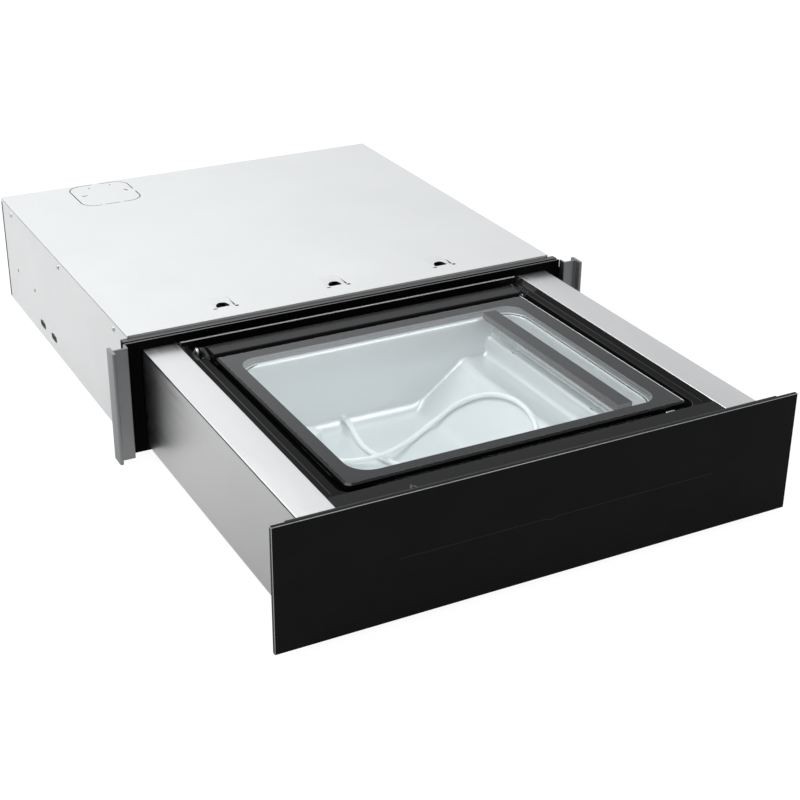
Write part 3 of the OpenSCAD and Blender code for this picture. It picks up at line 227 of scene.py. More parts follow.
def tube(bm, line, radius, sides):
    """Sweeps a circle along a line without letting it twist."""
    side, rings = Vector((0, 0, 1)), []
    for i, point in enumerate(line):
        way = (line[min(i + 1, len(line) - 1)] - line[max(i - 1, 0)]).normalized()
        side = (side - way * side.dot(way)).normalized()
        up = way.cross(side)
        rings.append([bm.verts.new(point + radius * (math.cos(a) * side + math.sin(a) * up))
                      for a in around(sides)])
    for low, high in zip(rings, rings[1:]):
        bridge(bm, low, high)
    bm.faces.new(rings[0][::-1])
    bm.faces.new(rings[-1])


def move_faces(bm, faces, matrix):
    bmesh.ops.transform(bm, matrix=matrix, verts=list({v for f in faces for v in f.verts}))


def new_mesh(name, bm, unit=MM):
    """The mesh, in metres, of what was drawn in the given unit."""
    bm.transform(Matrix.Scale(unit, 4))
    mesh = bpy.data.meshes.new(name)
    bm.to_mesh(mesh)
    bm.free()
    return mesh


def new_object(name, data):
    thing = bpy.data.objects.new(name, data)
    bpy.context.scene.collection.objects.link(thing)
    return thing


def evaluated_mesh(thing):
    """What the object's modifiers make of it."""
    bpy.context.view_layer.update()
    graph = bpy.context.evaluated_depsgraph_get()
    return bpy.data.meshes.new_from_object(thing.evaluated_get(graph))


def mesh_piece(name, mesh, body, slot, finishes, replaces=(), bevel=0.0, segments=2, smooth=32,
               edge_finish=-1):
    """A finished piece that rides on a body. finishes is the name of one, or a list of names;
    edge_finish is the place in that list of the finish on the bevels."""
    piece = new_object(name, mesh)
    for finish_name in finishes if isinstance(finishes, list) else [finishes]:
        mesh.materials.append(finish(finish_name))
    if bevel:
        mod = piece.modifiers.new("edge", "BEVEL")
        mod.width, mod.segments, mod.limit_method = bevel * MM, segments, "ANGLE"
        mod.angle_limit, mod.use_clamp_overlap, mod.material = BEVEL_FROM, False, edge_finish
    mesh.polygons.foreach_set("use_smooth", [True] * len(mesh.polygons))
    mesh.set_sharp_from_angle(angle=math.radians(smooth))
    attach(piece, body)
    if replaces:
        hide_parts(*replaces)
    return piece


def make_piece(name, bm, *place, **looks):
    """As mesh_piece, from a closed drawing in millimetres."""
    bmesh.ops.remove_doubles(bm, verts=bm.verts, dist=DRAWN_WELD)
    bmesh.ops.recalc_face_normals(bm, faces=bm.faces)
    return mesh_piece(name, new_mesh(name, bm), *place, **looks)


def softened(node, finishes, bevel=0.3, segments=2, second=None, edge_finish=-1):
    """A copy of a CAD node with its flat facets joined and its edges rounded, in its place.
    Faces for which second(middle in millimetres, normal) is true take the second finish."""
    bm = bmesh.new()
    bm.from_mesh(NODES[node].data)
    bmesh.ops.remove_doubles(bm, verts=bm.verts, dist=PACKED_WELD)
    bmesh.ops.dissolve_limit(bm, angle_limit=JOIN_WITHIN, verts=bm.verts, edges=bm.edges)
    if second:
        for f in bm.faces:
            f.material_index = int(second(f.calc_center_bounds() / MM, f.normal))
    name = node + "_soft"
    mesh_piece(name, new_mesh(name, bm, 1), NODES[node]["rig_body"], SLOTS[node], finishes, [node],
               bevel, segments, edge_finish=edge_finish)


def soften_each(*rows):
    """Softens several nodes; a row holds the node, its finish and the width of its bevels."""
    for node, finish_name, bevel in rows:
        softened(node, finish_name, bevel)


def span(node):
    """A CAD node's box in millimetres: x0, x1, y0, y1, z0, z1."""
    low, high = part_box(node)
    return [v / MM for pair in zip(low, high) for v in pair]


# Shader and geometry nodes
def add(tree, kind, inputs=None, **settings):
    """Adds a node, sets its settings, and fills its inputs with values or with other sockets."""
    node = tree.nodes.new(kind)
    for key, value in settings.items():
        setattr(node, key, value)
    for key, value in (inputs or {}).items():
        if isinstance(value, bpy.types.NodeSocket):
            tree.links.new(value, node.inputs[key])
        else:
            node.inputs[key].default_value = value
    return node


def ramp(tree, value, low, high, start, end, **settings):
    """Goes from start to end while the value goes from low to high."""
    return add(tree, "ShaderNodeMapRange", {
        "Value": value, "From Min": low, "From Max": high, "To Min": start, "To Max": end},
        **settings).outputs["Result"]


def combined(tree, operation, a, b):
    return add(tree, "ShaderNodeMath", {0: a, 1: b}, operation=operation).outputs[0]


def mixed(tree, share, shader, other):
    return add(tree, "ShaderNodeMixShader", {
        0: share, 1: shader.outputs[0], 2: other.outputs[0]})


def mixed_colour(tree, share, colour, other):
    return add(tree, "ShaderNodeMix", {0: share, 6: colour, 7: other},
               data_type="RGBA").outputs[2]


def own_space(tree):
    return add(tree, "ShaderNodeTexCoord").outputs["Object"]


def begin_finish(name):
    material = bpy.data.materials.new(name)
    material.use_nodes = True
    material.node_tree.nodes.clear()
    return material, material.node_tree


def end_finish(tree, surface):
    add(tree, "ShaderNodeOutputMaterial", {"Surface": surface.outputs[0]})


def pattern(tree, size, detail=2.0, seed=0.0):
    """Noise in the piece's own space whose features are size millimetres along X, Y and Z."""
    scaled = add(tree, "ShaderNodeMapping", {
        "Vector": own_space(tree), "Location": (seed, seed, seed),
        "Scale": tuple(1 / (s * MM) for s in size)})
    return add(tree, "ShaderNodeTexNoise", {
        "Vector": scaled.outputs["Vector"], "Scale": 1.0, "Detail": detail,
        "Roughness": 0.55}).outputs["Fac"]


def textured(name, colour, shade, grain, cloud, dullness, strength, relief, inputs):
    """A surface with fine grain in its roughness and relief, and faint clouds in its colour."""
    material, tree = begin_finish(name)
    fine = pattern(tree, *grain)
    darker = tuple(c * (1 - shade) for c in colour[:3]) + (1.0,)
    bump = add(tree, "ShaderNodeBump", {
        "Strength": strength, "Distance": relief * MM, "Height": fine})
    end_finish(tree, add(tree, "ShaderNodeBsdfPrincipled", {
        "Base Color": mixed_colour(tree, pattern(tree, *cloud), colour, darker),
        "Roughness": ramp(tree, fine, *dullness), "Normal": bump.outputs["Normal"], **inputs}))
    return material


def metal(name, colour, roughness, grain, metallic=1.0, spread=0.08, shade=0.06, relief=0.02,
          cloud=60):
    """Brushed, blasted, plated or cast metal, with grain as long as given along X, Y and Z."""
    return textured(name, colour, shade, (grain, 3.0), ((cloud,) * 3, 2.0, 7.0),
                    (0.25, 0.75, roughness - spread, roughness + spread), 0.4, relief,
                    {"Metallic": metallic})


def coat(name, colour, roughness, grain, specular=0.5, relief=0.03, shade=0.12, extra=None):
    """A moulded, printed or coated surface: grain of the mould or coat, and even colour."""
    return textured(name, colour, shade, ((grain,) * 3, 2.0), ((45,) * 3, 2.0, 3.0),
                    (0.0, 1.0, roughness - 0.05, roughness + 0.05), 0.35, relief,
                    {"Specular IOR Level": specular, **(extra or {})})


def glass(name, colour, roughness, smear):
    """Polished float glass that bends what lies under it; light from the lamps passes straight."""
    material, tree = begin_finish(name)
    dull = ramp(tree, pattern(tree, (smear,) * 3, 3.0), 0.5, 0.8, roughness, roughness + 0.02)
    body = add(tree, "ShaderNodeBsdfPrincipled", {
        "Base Color": colour, "Roughness": dull, "IOR": 1.5, "Transmission Weight": 1.0})
    ray = add(tree, "ShaderNodeLightPath").outputs
    passing = combined(tree, "MAXIMUM", ray["Is Shadow Ray"], ray["Is Diffuse Ray"])
    clear = add(tree, "ShaderNodeBsdfTransparent", {
        "Color": tuple(0.99 * c for c in colour[:3]) + (1.0,)})
    end_finish(tree, mixed(tree, passing, body, clear))
    return material


# Each finish is named for the real material and how its surface was made. A row holds its maker,
# its sRGB colour or the name of that colour in DrawerColours, its roughness, the size of its
# grain in millimetres, and what else differs from the maker's usual values
FINISHES = {
    # Hot-dip galvanised steel: pale, satin, with broad soft clouds of zinc
    "galvanised_steel": (metal, "housing", 0.44, (4, 4, 4),
                         dict(metallic=0.55, shade=0.07, cloud=85)),
    # Stainless sheet brushed along the drawer: long fine lines that stretch its highlights.
    # The real lines are some 0.1 mm wide; they are drawn 1.4 mm wide so that they show
    "brushed_stainless": (metal, "side_box", 0.34, (1.4, 110, 1.4),
                          dict(spread=0.07, shade=0.05, relief=0.01, cloud=120)),
    # Extruded aluminium, brushed upright and anodised: satin grey
    "anodised_aluminium": (metal, "trim", 0.36, (0.9, 0.9, 90), dict(spread=0.06, relief=0.008)),
    # Zinc-plated steel of runners, brackets and screws: bright with faint clouds
    "zinc_plated_steel": (metal, "#CDD0D2", 0.28, (3, 3, 3), dict(shade=0.12, cloud=20)),
    # Cut edges of the galvanised sheet in holes and slots, dull and near black: painted shade
    # inside them
    "sheared_edge": (metal, "#1C1C1D", 0.6, (2, 2, 2), dict(metallic=0.3, relief=0.03)),
    # Chrome plate: mirror bright, with only the faintest haze
    "chrome_plate": (metal, "#D6D8DA", 0.10, (6, 6, 6),
                     dict(spread=0.03, shade=0.03, relief=0.004)),
    # Deep-drawn stainless, glass-bead blasted: silky, cool grey, soft highlights on its bends
    "blasted_stainless": (metal, "chamber", 0.34, (0.9, 0.9, 0.9),
                          dict(metallic=0.45, spread=0.05, shade=0.03, relief=0.012, cloud=90)),
    # Stainless strip of the deck rail, coloured near white and barely metallic: a painted
    # highlight along its top edge
    "bright_deck_rail": (metal, "#FDFDFD", 0.3, (90, 0.8, 0.8), dict(metallic=0.1, relief=0.005)),
    # Aluminium of the sealing bar, milled: bright with crosswise cutter lines
    "milled_aluminium": (metal, "#C2C4C6", 0.30, (6, 0.8, 0.8), {}),
    # Die-cast aluminium of the pump and lift cylinders: rough grey skin
    "cast_aluminium": (metal, "#9A9C9E", 0.55, (1.2, 1.2, 1.2),
                       dict(relief=0.06, shade=0.15, cloud=15)),
    # Steel with a dark phosphate coat: near black, dull metallic
    "phosphated_steel": (metal, "#3A3B3D", 0.50, (1.5, 1.5, 1.5), dict(metallic=0.7, shade=0.2)),
    # Wound copper and its varnished core: warm brown, glossy
    "varnished_windings": (metal, "#8A4E2A", 0.35, (30, 1, 1), dict(metallic=0.6, relief=0.15)),
    # Polyester powder coat, black: satin with a slight orange peel
    "black_powder_coat": (coat, "#060606", 0.36, 1.6, dict(specular=0.4, relief=0.02)),
    # The same coat in lighter grey on top of the collar: a painted sheen for the reflection on its
    # top faces
    "rubbed_powder_coat": (coat, "#404040", 0.3, 1.6, dict(specular=0.6, relief=0.01)),
    # The same coat in its matt grade, on the upright faces of the collar
    "matt_powder_coat": (coat, "#050505", 0.6, 1.6, dict(specular=0.04, relief=0.02)),
    # ABS of the deck from a spark-eroded mould: black, matt, fine even grain
    "moulded_black_abs": (coat, "deck", 0.5, 0.9, dict(specular=0.03)),
    # The same moulding on its polished edges and coves: black and glossy
    "polished_black_abs": (coat, "deck", 0.2, 0.9, dict(specular=0.2, relief=0.004)),
    # Ledge moulding with its printed film: dark grey satin
    "printed_ledge_film": (coat, "ledge", 0.5, 0.9, dict(specular=0.07, relief=0.015)),
    # Painted aluminium extrusion of the hinge bar: near black, satin
    "painted_hinge_bar": (coat, "#141415", 0.40, 1.2, dict(specular=0.35, relief=0.015)),
    # Grey print of the touch symbol
    "grey_print": (coat, "#6A6A6A", 0.5, 0.5, dict(relief=0.005)),
    # The same print, thinner, of the line on the front glass
    "faint_grey_print": (coat, "#2C2C2C", 0.4, 0.5, dict(specular=0.15, relief=0.005)),
    # Float glass painted black behind: deep, glossy, hardly any reflection in studio light
    "back_painted_glass": (coat, "front", 0.09, 60, dict(specular=0.08, relief=0.002, shade=0.3)),
    # Ground and polished edge of that glass: lighter, as its edge catches the light
    "ground_glass_edge": (coat, "#A6AAAB", 0.22, 0.8, dict(relief=0.01)),
    # Polished edge of the lid's glass, which shows the black print behind it
    "polished_glass_edge": (coat, "#0E0F10", 0.2, 0.8, dict(specular=0.3, relief=0.004)),
    # The same slope, pale and matt: a painted highlight along the lid's right edge
    "frosted_glass_edge": (coat, "#F2F5F5", 0.5, 0.8, dict(relief=0.01)),
    # Ceramic print under the lid glass: dead black
    "ceramic_print": (coat, "border", 0.6, 0.6, dict(specular=0.0, relief=0.005)),
    # Silicone seal, extruded: mid grey, matt
    "grey_silicone": (coat, "seal", 0.55, 0.8, dict(specular=0.2, relief=0.004)),
    # Silicone counter bar under the lid: dark grey, matt
    "dark_silicone": (coat, "#2A292B", 0.6, 1, dict(specular=0.1, relief=0.004)),
    # Rubber of mounts and gland: matt black. The same finish makes the black fills, strips and
    # groove linings that are painted shade in the housing's holes and seams and in the side boxes'
    # seams
    "black_rubber": (coat, "#151515", 0.6, 1, dict(specular=0.3)),
    # Nylon of terminal block and valve: ivory, satin
    "ivory_nylon": (coat, "#D9D2BC", 0.45, 1.2, dict(relief=0.02)),
    # Circuit board with its green solder mask: glossy
    "solder_masked_board": (coat, "#1F5A35", 0.3, 1.5, dict(shade=0.25)),
    # Tape of glass cloth with PTFE over the heating wire: tan with a fine weave
    "glass_cloth_tape": (coat, "#8C7558", 0.5, 0.7, dict(relief=0.08)),
    # Clear PVC hose, extruded: milky, with soft highlights along it
    "milky_hose": (coat, "hose", 0.4, 2, dict(specular=0.35, relief=0.005, shade=0.02, extra={
        "Subsurface Weight": 0.7, "Subsurface Scale": 0.01,
        "Subsurface Radius": (1.0, 1.0, 1.0)})),
    # Moulded polypropylene cap: frosted
    "frosted_cap": (coat, "hose", 0.35, 1.2, dict(
        relief=0.02, shade=0.03, extra={"Transmission Weight": 0.15, "IOR": 1.45})),
    # Toughened float glass of the lid, clear with a cool cast
    "lid_float_glass": (glass, "#F8FBFB", 0.0, 70, {}),
}
MADE = {}


def finish(name):
    """The named finish, made when it is first used."""
    if name not in MADE:
        maker, colour, roughness, grain, options = FINISHES[name]
        if colour.startswith("#"):
            colour = linear(colour)
        else:
            colour = tuple(getattr(bpy.context.scene.drawer_colours, colour))
        MADE[name] = maker(name, colour, roughness, grain, **options)
    return MADE[name]


# Camera as fitted to the photograph, in metres, and its lens for a sensor 36 mm wide
CAMERA_PLACE = (-0.77028, -1.83481, 0.87304)
CAMERA_RIGHT = (0.88451372, -0.46645494, 0.00743417)
CAMERA_UP = (0.20138508, 0.39615316, 0.8958274)
CAMERA_BACK = (-0.42080819, -0.79087449, 0.44433997)
LENS, SENSOR = 72.10, 36.0
# Name, place, aim, size and power of each lamp
LAMPS = (("softbox_above", (-0.5, 0.0, 2.0), (0.0, -0.3, 0.0), (1.8, 1.4), 27.0),
         ("softbox_left", (-2.2, 0.5, 1.6), (0.0, -0.2, 0.05), (1.2, 1.6), 9.0),
         ("strip_in_front", (0.8, -1.35, 1.65), (0.0, -0.5, 0.1), (1.2, 0.4), 5.5))
FLOOR_HALF, FLOOR_DEPTH = 6000, 10


class DRAWER_OT_stage(bpy.types.Operator):
    """Camera at the photograph's angle, white studio world, soft lamps and floor"""

    bl_idname = "drawer.stage"
    bl_label = "Stage"

    def execute(self, context):
        scene = context.scene
        scene.view_settings.view_transform = "Standard"
        data = bpy.data.cameras.new("photo_camera")
        data.lens, data.sensor_width = LENS, SENSOR
        data.clip_start, data.clip_end = 0.05, 60.0
        scene.camera = new_object("photo_camera", data)
        turn = Matrix((CAMERA_RIGHT, CAMERA_UP, CAMERA_BACK)).transposed()
        scene.camera.matrix_world = Matrix.Translation(CAMERA_PLACE) @ turn.to_4x4()
        self.make_world(scene)
        self.make_floor()
        for name, place, aim, size, power in LAMPS:
            lamp = bpy.data.lights.new(name, "AREA")
            lamp.shape, lamp.size, lamp.size_y, lamp.energy = "RECTANGLE", *size, power
            holder = new_object(name, lamp)
            holder.location = place
            holder.rotation_mode = "QUATERNION"
            holder.rotation_quaternion = (Vector(aim) - Vector(place)).to_track_quat("-Z", "Y")
        return {"FINISHED"}

    def make_world(self, scene):
        """White behind the object, greyer on the camera's side and above, as in a light tent."""
        world = bpy.data.worlds.new("light_tent")
        scene.world = world
        world.use_nodes = True
        tree = world.node_tree
        tree.nodes.clear()
        way = add(tree, "ShaderNodeSeparateXYZ", {
            0: add(tree, "ShaderNodeTexCoord").outputs["Generated"]}).outputs
        smooth = {"interpolation_type": "SMOOTHSTEP"}
        height = ramp(tree, way["Z"], 0.36, 0.54, 1.0, 0.62, **smooth)
        front = ramp(tree, way["Y"], -0.7, 0.3, 0.40, 1.0, **smooth)
        right = ramp(tree, way["X"], 0.28, 0.55, 1.25, 0.75, **smooth)
        behind = combined(tree, "MULTIPLY", height, front)
        lit = add(tree, "ShaderNodeBackground", {
            "Color": linear("#FBFDFF"), "Strength": combined(tree, "MULTIPLY", behind, right)})
        seen = add(tree, "ShaderNodeBackground", {"Color": (1, 1, 1, 1), "Strength": 1.0})
        from_camera = add(tree, "ShaderNodeLightPath").outputs["Is Camera Ray"]
        both = mixed(tree, from_camera, lit, seen)
        add(tree, "ShaderNodeOutputWorld", {"Surface": both.outputs[0]})

    def make_floor(self):
        half = FLOOR_HALF
        bm = drawn(rectangle(-half, half, -half, half), "Z", -FLOOR_DEPTH, 0)
        bmesh.ops.recalc_face_normals(bm, faces=bm.faces)
        floor = new_object("floor", new_mesh("floor", bm))
        # Seamless studio paper: white to the camera, with a faint shadow; in reflections a painted
        # glow that dims towards the front
        material, tree = begin_finish("studio_paper")
        tone = mixed_colour(tree, pattern(tree, (1.5, 1.5, 1.5)), linear("#EDEDED"),
                            linear("#E9E9E9"))
        paper = add(tree, "ShaderNodeBsdfDiffuse", {"Color": tone})
        place = add(tree, "ShaderNodeSeparateXYZ", {0: own_space(tree)}).outputs
        # The glow seen in reflections fades towards the front: painted light that sets how bright
        # the metal's reflections are
        far = ramp(tree, place["Y"], -1.0, 0.35, 0.20, 0.86, interpolation_type="SMOOTHSTEP")
        ray = add(tree, "ShaderNodeLightPath").outputs
        strength = add(tree, "ShaderNodeMix", {0: ray["Is Glossy Ray"], 2: 1.10, 3: far},
                       data_type="FLOAT")
        glow = add(tree, "ShaderNodeEmission", {"Strength": strength.outputs[0]})
        white = mixed(tree, 0.86, paper, glow)
        seen = combined(tree, "MAXIMUM", ray["Is Camera Ray"], ray["Is Glossy Ray"])
        seen = combined(tree, "MAXIMUM", seen, ray["Is Transmission Ray"])
        end_finish(tree, mixed(tree, seen, paper, white))
        floor.data.materials.append(material)


# The hose's route from the suction port to the cap: x, y from the mouth, and height above the
# chamber's floor
HOSE_ROUTE = [
    (-58, -91, 10), (-58, -97, 10), (-58.5, -106, 8.5), (-60, -118, 5.5), (-62, -131, 3.8),
    (-63, -145, 3.3), (-61, -165, 3.3), (-55, -185, 3.3), (-46, -206, 3.3), (-33, -228, 3.3),
    (-16, -250, 3.3), (4, -270, 3.3), (26, -286, 5), (46, -294, 14), (64, -292, 28.2),
    (79, -280, 39.9), (88, -262, 47), (94, -240, 51.4), (96, -215, 52.6), (92.5, -191, 50.6),
    (85, -168, 44.8), (73, -150, 35.3), (57, -138, 22.9), (40, -134, 10.2), (22, -138, 4.8),
    (4, -148, 3.4), (-14, -160, 4.6), (-30, -171, 7.4), (-45, -180, 9.8), (-60, -185, 10.8),
    (-75, -183, 9), (-90, -175, 6), (-102, -165, 4.4), (-110.5, -155, 5), (-114.3, -147, 5.8),
    (-115, -142, 6), (-115, -136, 6)]
CHAMBER_FLOOR_Z = 23.3
ROUTE_STEPS, HOSE_SIDES, CAP_SIDES, CAP_RIBS = 6, 20, 48, 36


def smooth_route(points, steps):
    """Points on a smooth curve through the given ones."""
    ends = [points[0], *points, points[-1]]
    out = []
    for a, b, c, d in zip(ends, ends[1:], ends[2:], ends[3:]):
        for k in range(steps):
            t = k / steps
            out.append(0.5 * (2 * b + (c - a) * t + (2 * a - 5 * b + 4 * c - d) * t * t
                              + (3 * b - a - 3 * c + d) * t ** 3))
    return out + [points[-1]]


class DRAWER_OT_hose(bpy.types.Operator):
    """Loose vacuum hose with the container cap on its end"""

    bl_idname = "drawer.hose"
    bl_label = "Hose and cap"

    def execute(self, context):
        diameter = context.scene.drawer_sizes.hose_diameter
        route = [Vector((x, y + MOUTH_Y, z + CHAMBER_FLOOR_Z)) for x, y, z in HOSE_ROUTE]
        line = smooth_route(route, ROUTE_STEPS)
        bm = bmesh.new()
        tube(bm, line, diameter / 2 / MM, HOSE_SIDES)
        hose = make_piece("vacuum_hose", bm, "drawer", "clear_hose", "milky_hose", ["hose"],
                          smooth=60)
        cap = self.make_cap()
        return {"FINISHED"}

    def make_cap(self):
        """A hollow cap with a gripping rim, and the spout that the hose is pushed on."""
        x0, x1, _, y1, z0, _ = span("hose_cap")
        r = (x1 - x0) / 2
        x, y = (x0 + x1) / 2, y1 - r
        bm = bmesh.new()
        turned(bm, (x, y, z0), "Z", [
            (4, 0), (4, r - 2.5), (0, r - 2.5), (0, r - 0.5), (0.5, r - 0.3), (4.6, r - 0.3),
            (5.2, r - 0.9), (6, r - 1.6), (15, r - 3.4), (17.2, r - 4.6), (18, r - 6.6),
            (18, 5), (16.8, 4), (16.8, 0)], CAP_SIDES)
        for a in around(CAP_RIBS):
            rib = block(bm, r - 0.6, r, -0.7, 0.7, z0 + 0.6, z0 + 4.6)
            move_faces(bm, rib, Matrix.Translation((x, y, 0)) @ Matrix.Rotation(a, 4, "Z"))
        turned(bm, (x, y, z0 + 6), "Y", [
            (-26, 3.05), (-26, 3.6), (-20, 3.6), (-19, 3.2), (-12, 3.2)], CAP_SIDES // 2)
        return make_piece("container_cap", bm, "drawer", "clear_plastic", "frosted_cap",
                          ["hose_cap"], smooth=40)


def instance_tree(name):
    """Puts a part on each point, turned to face the point's own way, and makes it real."""
    tree = bpy.data.node_groups.new(name, "GeometryNodeTree")
    for label, way, kind in (("Points", "INPUT", "Geometry"), ("Part", "INPUT", "Object"),
                             ("Scale", "INPUT", "Float"), ("Pieces", "OUTPUT", "Geometry")):
        tree.interface.new_socket(label, in_out=way, socket_type="NodeSocket" + kind)
    given = add(tree, "NodeGroupInput").outputs
    part = add(tree, "GeometryNodeObjectInfo", {"Object": given["Part"]})
    facing = add(tree, "GeometryNodeInputNamedAttribute", {"Name": "facing"},
                 data_type="FLOAT_VECTOR")
    turn = add(tree, "FunctionNodeAlignRotationToVector",
               {"Vector": facing.outputs["Attribute"]}, axis="Z")
    placed = add(tree, "GeometryNodeInstanceOnPoints", {
        "Points": given["Points"], "Instance": part.outputs["Geometry"],
        "Rotation": turn.outputs[0], "Scale": given["Scale"]})
    real = add(tree, "GeometryNodeRealizeInstances", {0: placed.outputs[0]})
    add(tree, "NodeGroupOutput", {0: real.outputs[0]})
    return tree


def repeat(name, part_bm, spots, scale, body, slot, finish_name, replaces=()):
    """Repeats a small part by Geometry Nodes at spots, each a place in millimetres and the way
    that the part's Z faces there."""
    points_mesh = bpy.data.meshes.new(name + "_points")
    points_mesh.from_pydata([[v * MM for v in place] for place, _ in spots], [], [])
    attribute = points_mesh.attributes.new("facing", "FLOAT_VECTOR", "POINT")
    for item, (_, facing) in zip(attribute.data, spots):
        item.vector = facing
    holder = new_object(name + "_points", points_mesh)
    part = new_object(name + "_part", new_mesh(name + "_part", part_bm))
    mod = holder.modifiers.new("repeat", "NODES")
    mod.node_group = instance_tree(name + "_tree")
    sockets = {s.name: s.identifier for s in mod.node_group.interface.items_tree
               if s.in_out == "INPUT"}
    mod[sockets["Part"]] = part
    mod[sockets["Scale"]] = scale
    mesh = evaluated_mesh(holder)
    for used in (holder, part):
        bpy.data.objects.remove(used)
    mesh.name = name
    # The evaluated mesh comes with an empty material slot, which its faces would use
    mesh.materials.clear()
    mesh_piece(name, mesh, body, slot, finish_name, replaces, smooth=40)


# Radius and height of a drawn screw head; how far the black hole fills and seam strips of painted
# shade reach in and stand out
HEAD_RADIUS, HEAD_HEIGHT = 3.4, 1.8
SUNK, PROUD = 0.3, 0.06


def pan_head(bm, r, h):
    """A pan head with a cross recess, standing on Z."""
    turned(bm, (0, 0, 0), "Z", [
        (0, 0), (0, r), (0.35 * h, r), (0.62 * h, 0.93 * r), (0.85 * h, 0.74 * r),
        (h, 0.42 * r), (h, 0)], 24)
    for angle in (0, 90):
        cross = block(bm, -0.42 * r, 0.42 * r, -0.16 * r, 0.16 * r, h, h + 0.02)
        move_faces(bm, cross, Matrix.Rotation(math.radians(angle), 4, "Z"))


def flush(sign, wall_x):
    """From where to where a black fill or strip of painted shade lies across the wall's outside.
    """
    return sorted((sign * (wall_x - SUNK), sign * (wall_x + PROUD)))


def in_wall_holes(p, n):
    """True for the cut edges of the holes in the tray's walls, which take painted shade."""
    return abs(p.x) > 274 and abs(n.x) < 0.5 and 40 < p.y < 210 and 8 < p.z < 65


def in_cover_slots(p, n):
    """True for the cut edges of the slots round the cover's hooks and knock-out plate, which take
    painted shade.
    """
    hooks = -238 < p.y < -196 and abs(p.x) < 170 and abs(n.x) < 0.8
    knock_out = 165 < p.y < 257.5 and -190 < p.x < -98
    return p.z > 138 and abs(n.z) < 0.5 and (hooks or knock_out)


class DRAWER_OT_housing(bpy.types.Operator):
    """Folded tray, top cover, rear panel and their screws"""

    bl_idname = "drawer.housing"
    bl_label = "Housing"

    def execute(self, context):
        # Cut edges in the walls' holes and the cover's slots are near black: painted shade
        sheet = ["galvanised_steel", "sheared_edge"]
        softened("base_tray", sheet, 0.2, second=in_wall_holes)
        softened("top_cover", sheet, 0.15, second=in_cover_slots)
        self.make_plugs()
        self.make_tapes()
        soften_each(("rear_panel", "phosphated_steel", 0.2), ("mains_inlet", "black_rubber", 0.4))
        _, side_x, _, rear_y, _, _ = span("base_tray")
        spots = [((sign * side_x, y, 134.5), (sign, 0, 0))
                 for _, sign in SIDES for y in (-212, 0, 212)]
        spots += [((x, rear_y, z), (0, 1, 0)) for x in (-240, -80, 80, 240) for z in (6.2, 137.5)]
        bm = bmesh.new()
        pan_head(bm, HEAD_RADIUS, HEAD_HEIGHT)
        scale = context.scene.drawer_sizes.screw_head / (2 * HEAD_RADIUS * MM)
        repeat("housing_screws", bm, spots, scale, "housing", "bright_steel",
               "zinc_plated_steel", ["cover_screws"])
        return {"FINISHED"}

    def make_tapes(self):
        """Black strips in the seam under the cover and over the walls' rear edges: painted shade
        in the seam and behind the rear edges.
        """
        _, x1, y0, y1, _, z1 = span("base_tray")
        bm = bmesh.new()
        for _, sign in SIDES:
            across = flush(sign, x1)
            block(bm, *across, y0 + 1, y1 - 4, z1 - 0.65, z1 - 0.05)
            block(bm, *across, y1 - 5.5, y1 - 0.1, 2, z1 - 4)
        make_piece("seam_tapes", bm, "housing", "black_plastic", "black_rubber")

    def make_plugs(self):
        """Black fills all but flush in the walls' mounting holes: painted shade for the dark
        inside of the holes.
        """
        x1 = span("base_tray")[1]
        length, width, radius = 23, 8.6, 2.3
        slot = rounded(rectangle(-length / 2, length / 2, -width / 2, width / 2), 4, 6)
        dot = [(radius * math.cos(a), radius * math.sin(a)) for a in around(20)]
        bm = bmesh.new()
        for _, sign in SIDES:
            across = flush(sign, x1)
            for y, z, outline in ((99, 18.5, slot), (50, 18.5, slot), (125, 57, dot),
                                  (204, 57, dot)):
                prism(bm, [(y + a, z + b) for a, b in outline], "X", *across)
        make_piece("wall_plugs", bm, "housing", "black_plastic", "black_rubber")


class DRAWER_OT_collar(bpy.types.Operator):
    """Black collar round the mouth, and the two aluminium side trims"""

    bl_idname = "drawer.collar"
    bl_label = "Collar and trims"

    def execute(self, context):
        # Faces looking up take the lighter grey copy of the coat: a painted sheen
        softened("front_frame", ["matt_powder_coat", "rubbed_powder_coat"], 0.5,
                 second=lambda p, n: n.z > 0.7)
        x0, x1, y0, y1, z0, z1 = span("trim_right")
        lip_width, wall, nose = 4, 2.2, 9.4
        lip, face = x1 - lip_width, y0 + nose
        outline = [(x0, face), (lip, face), (lip, y0), (x1, y0), (x1, y1), (lip, y1),
                   (lip, face + wall), (x0 + wall, face + wall), (x0 + wall, y1), (x0, y1)]
        radii = [1.0, 0.6, 1.8, 1.8, 0.4, 0.4, 0.6, 0.8, 0.4, 0.4]
        for side, sign in SIDES:
            bm = drawn([(sign * x, y) for x, y in rounded(outline, radii, 6)], "Z", z0, z1)
            make_piece(f"aluminium_trim_{side}", bm, "housing", "trim_aluminium",
                       "anodised_aluminium", [f"trim_{side}"])
        return {"FINISHED"}


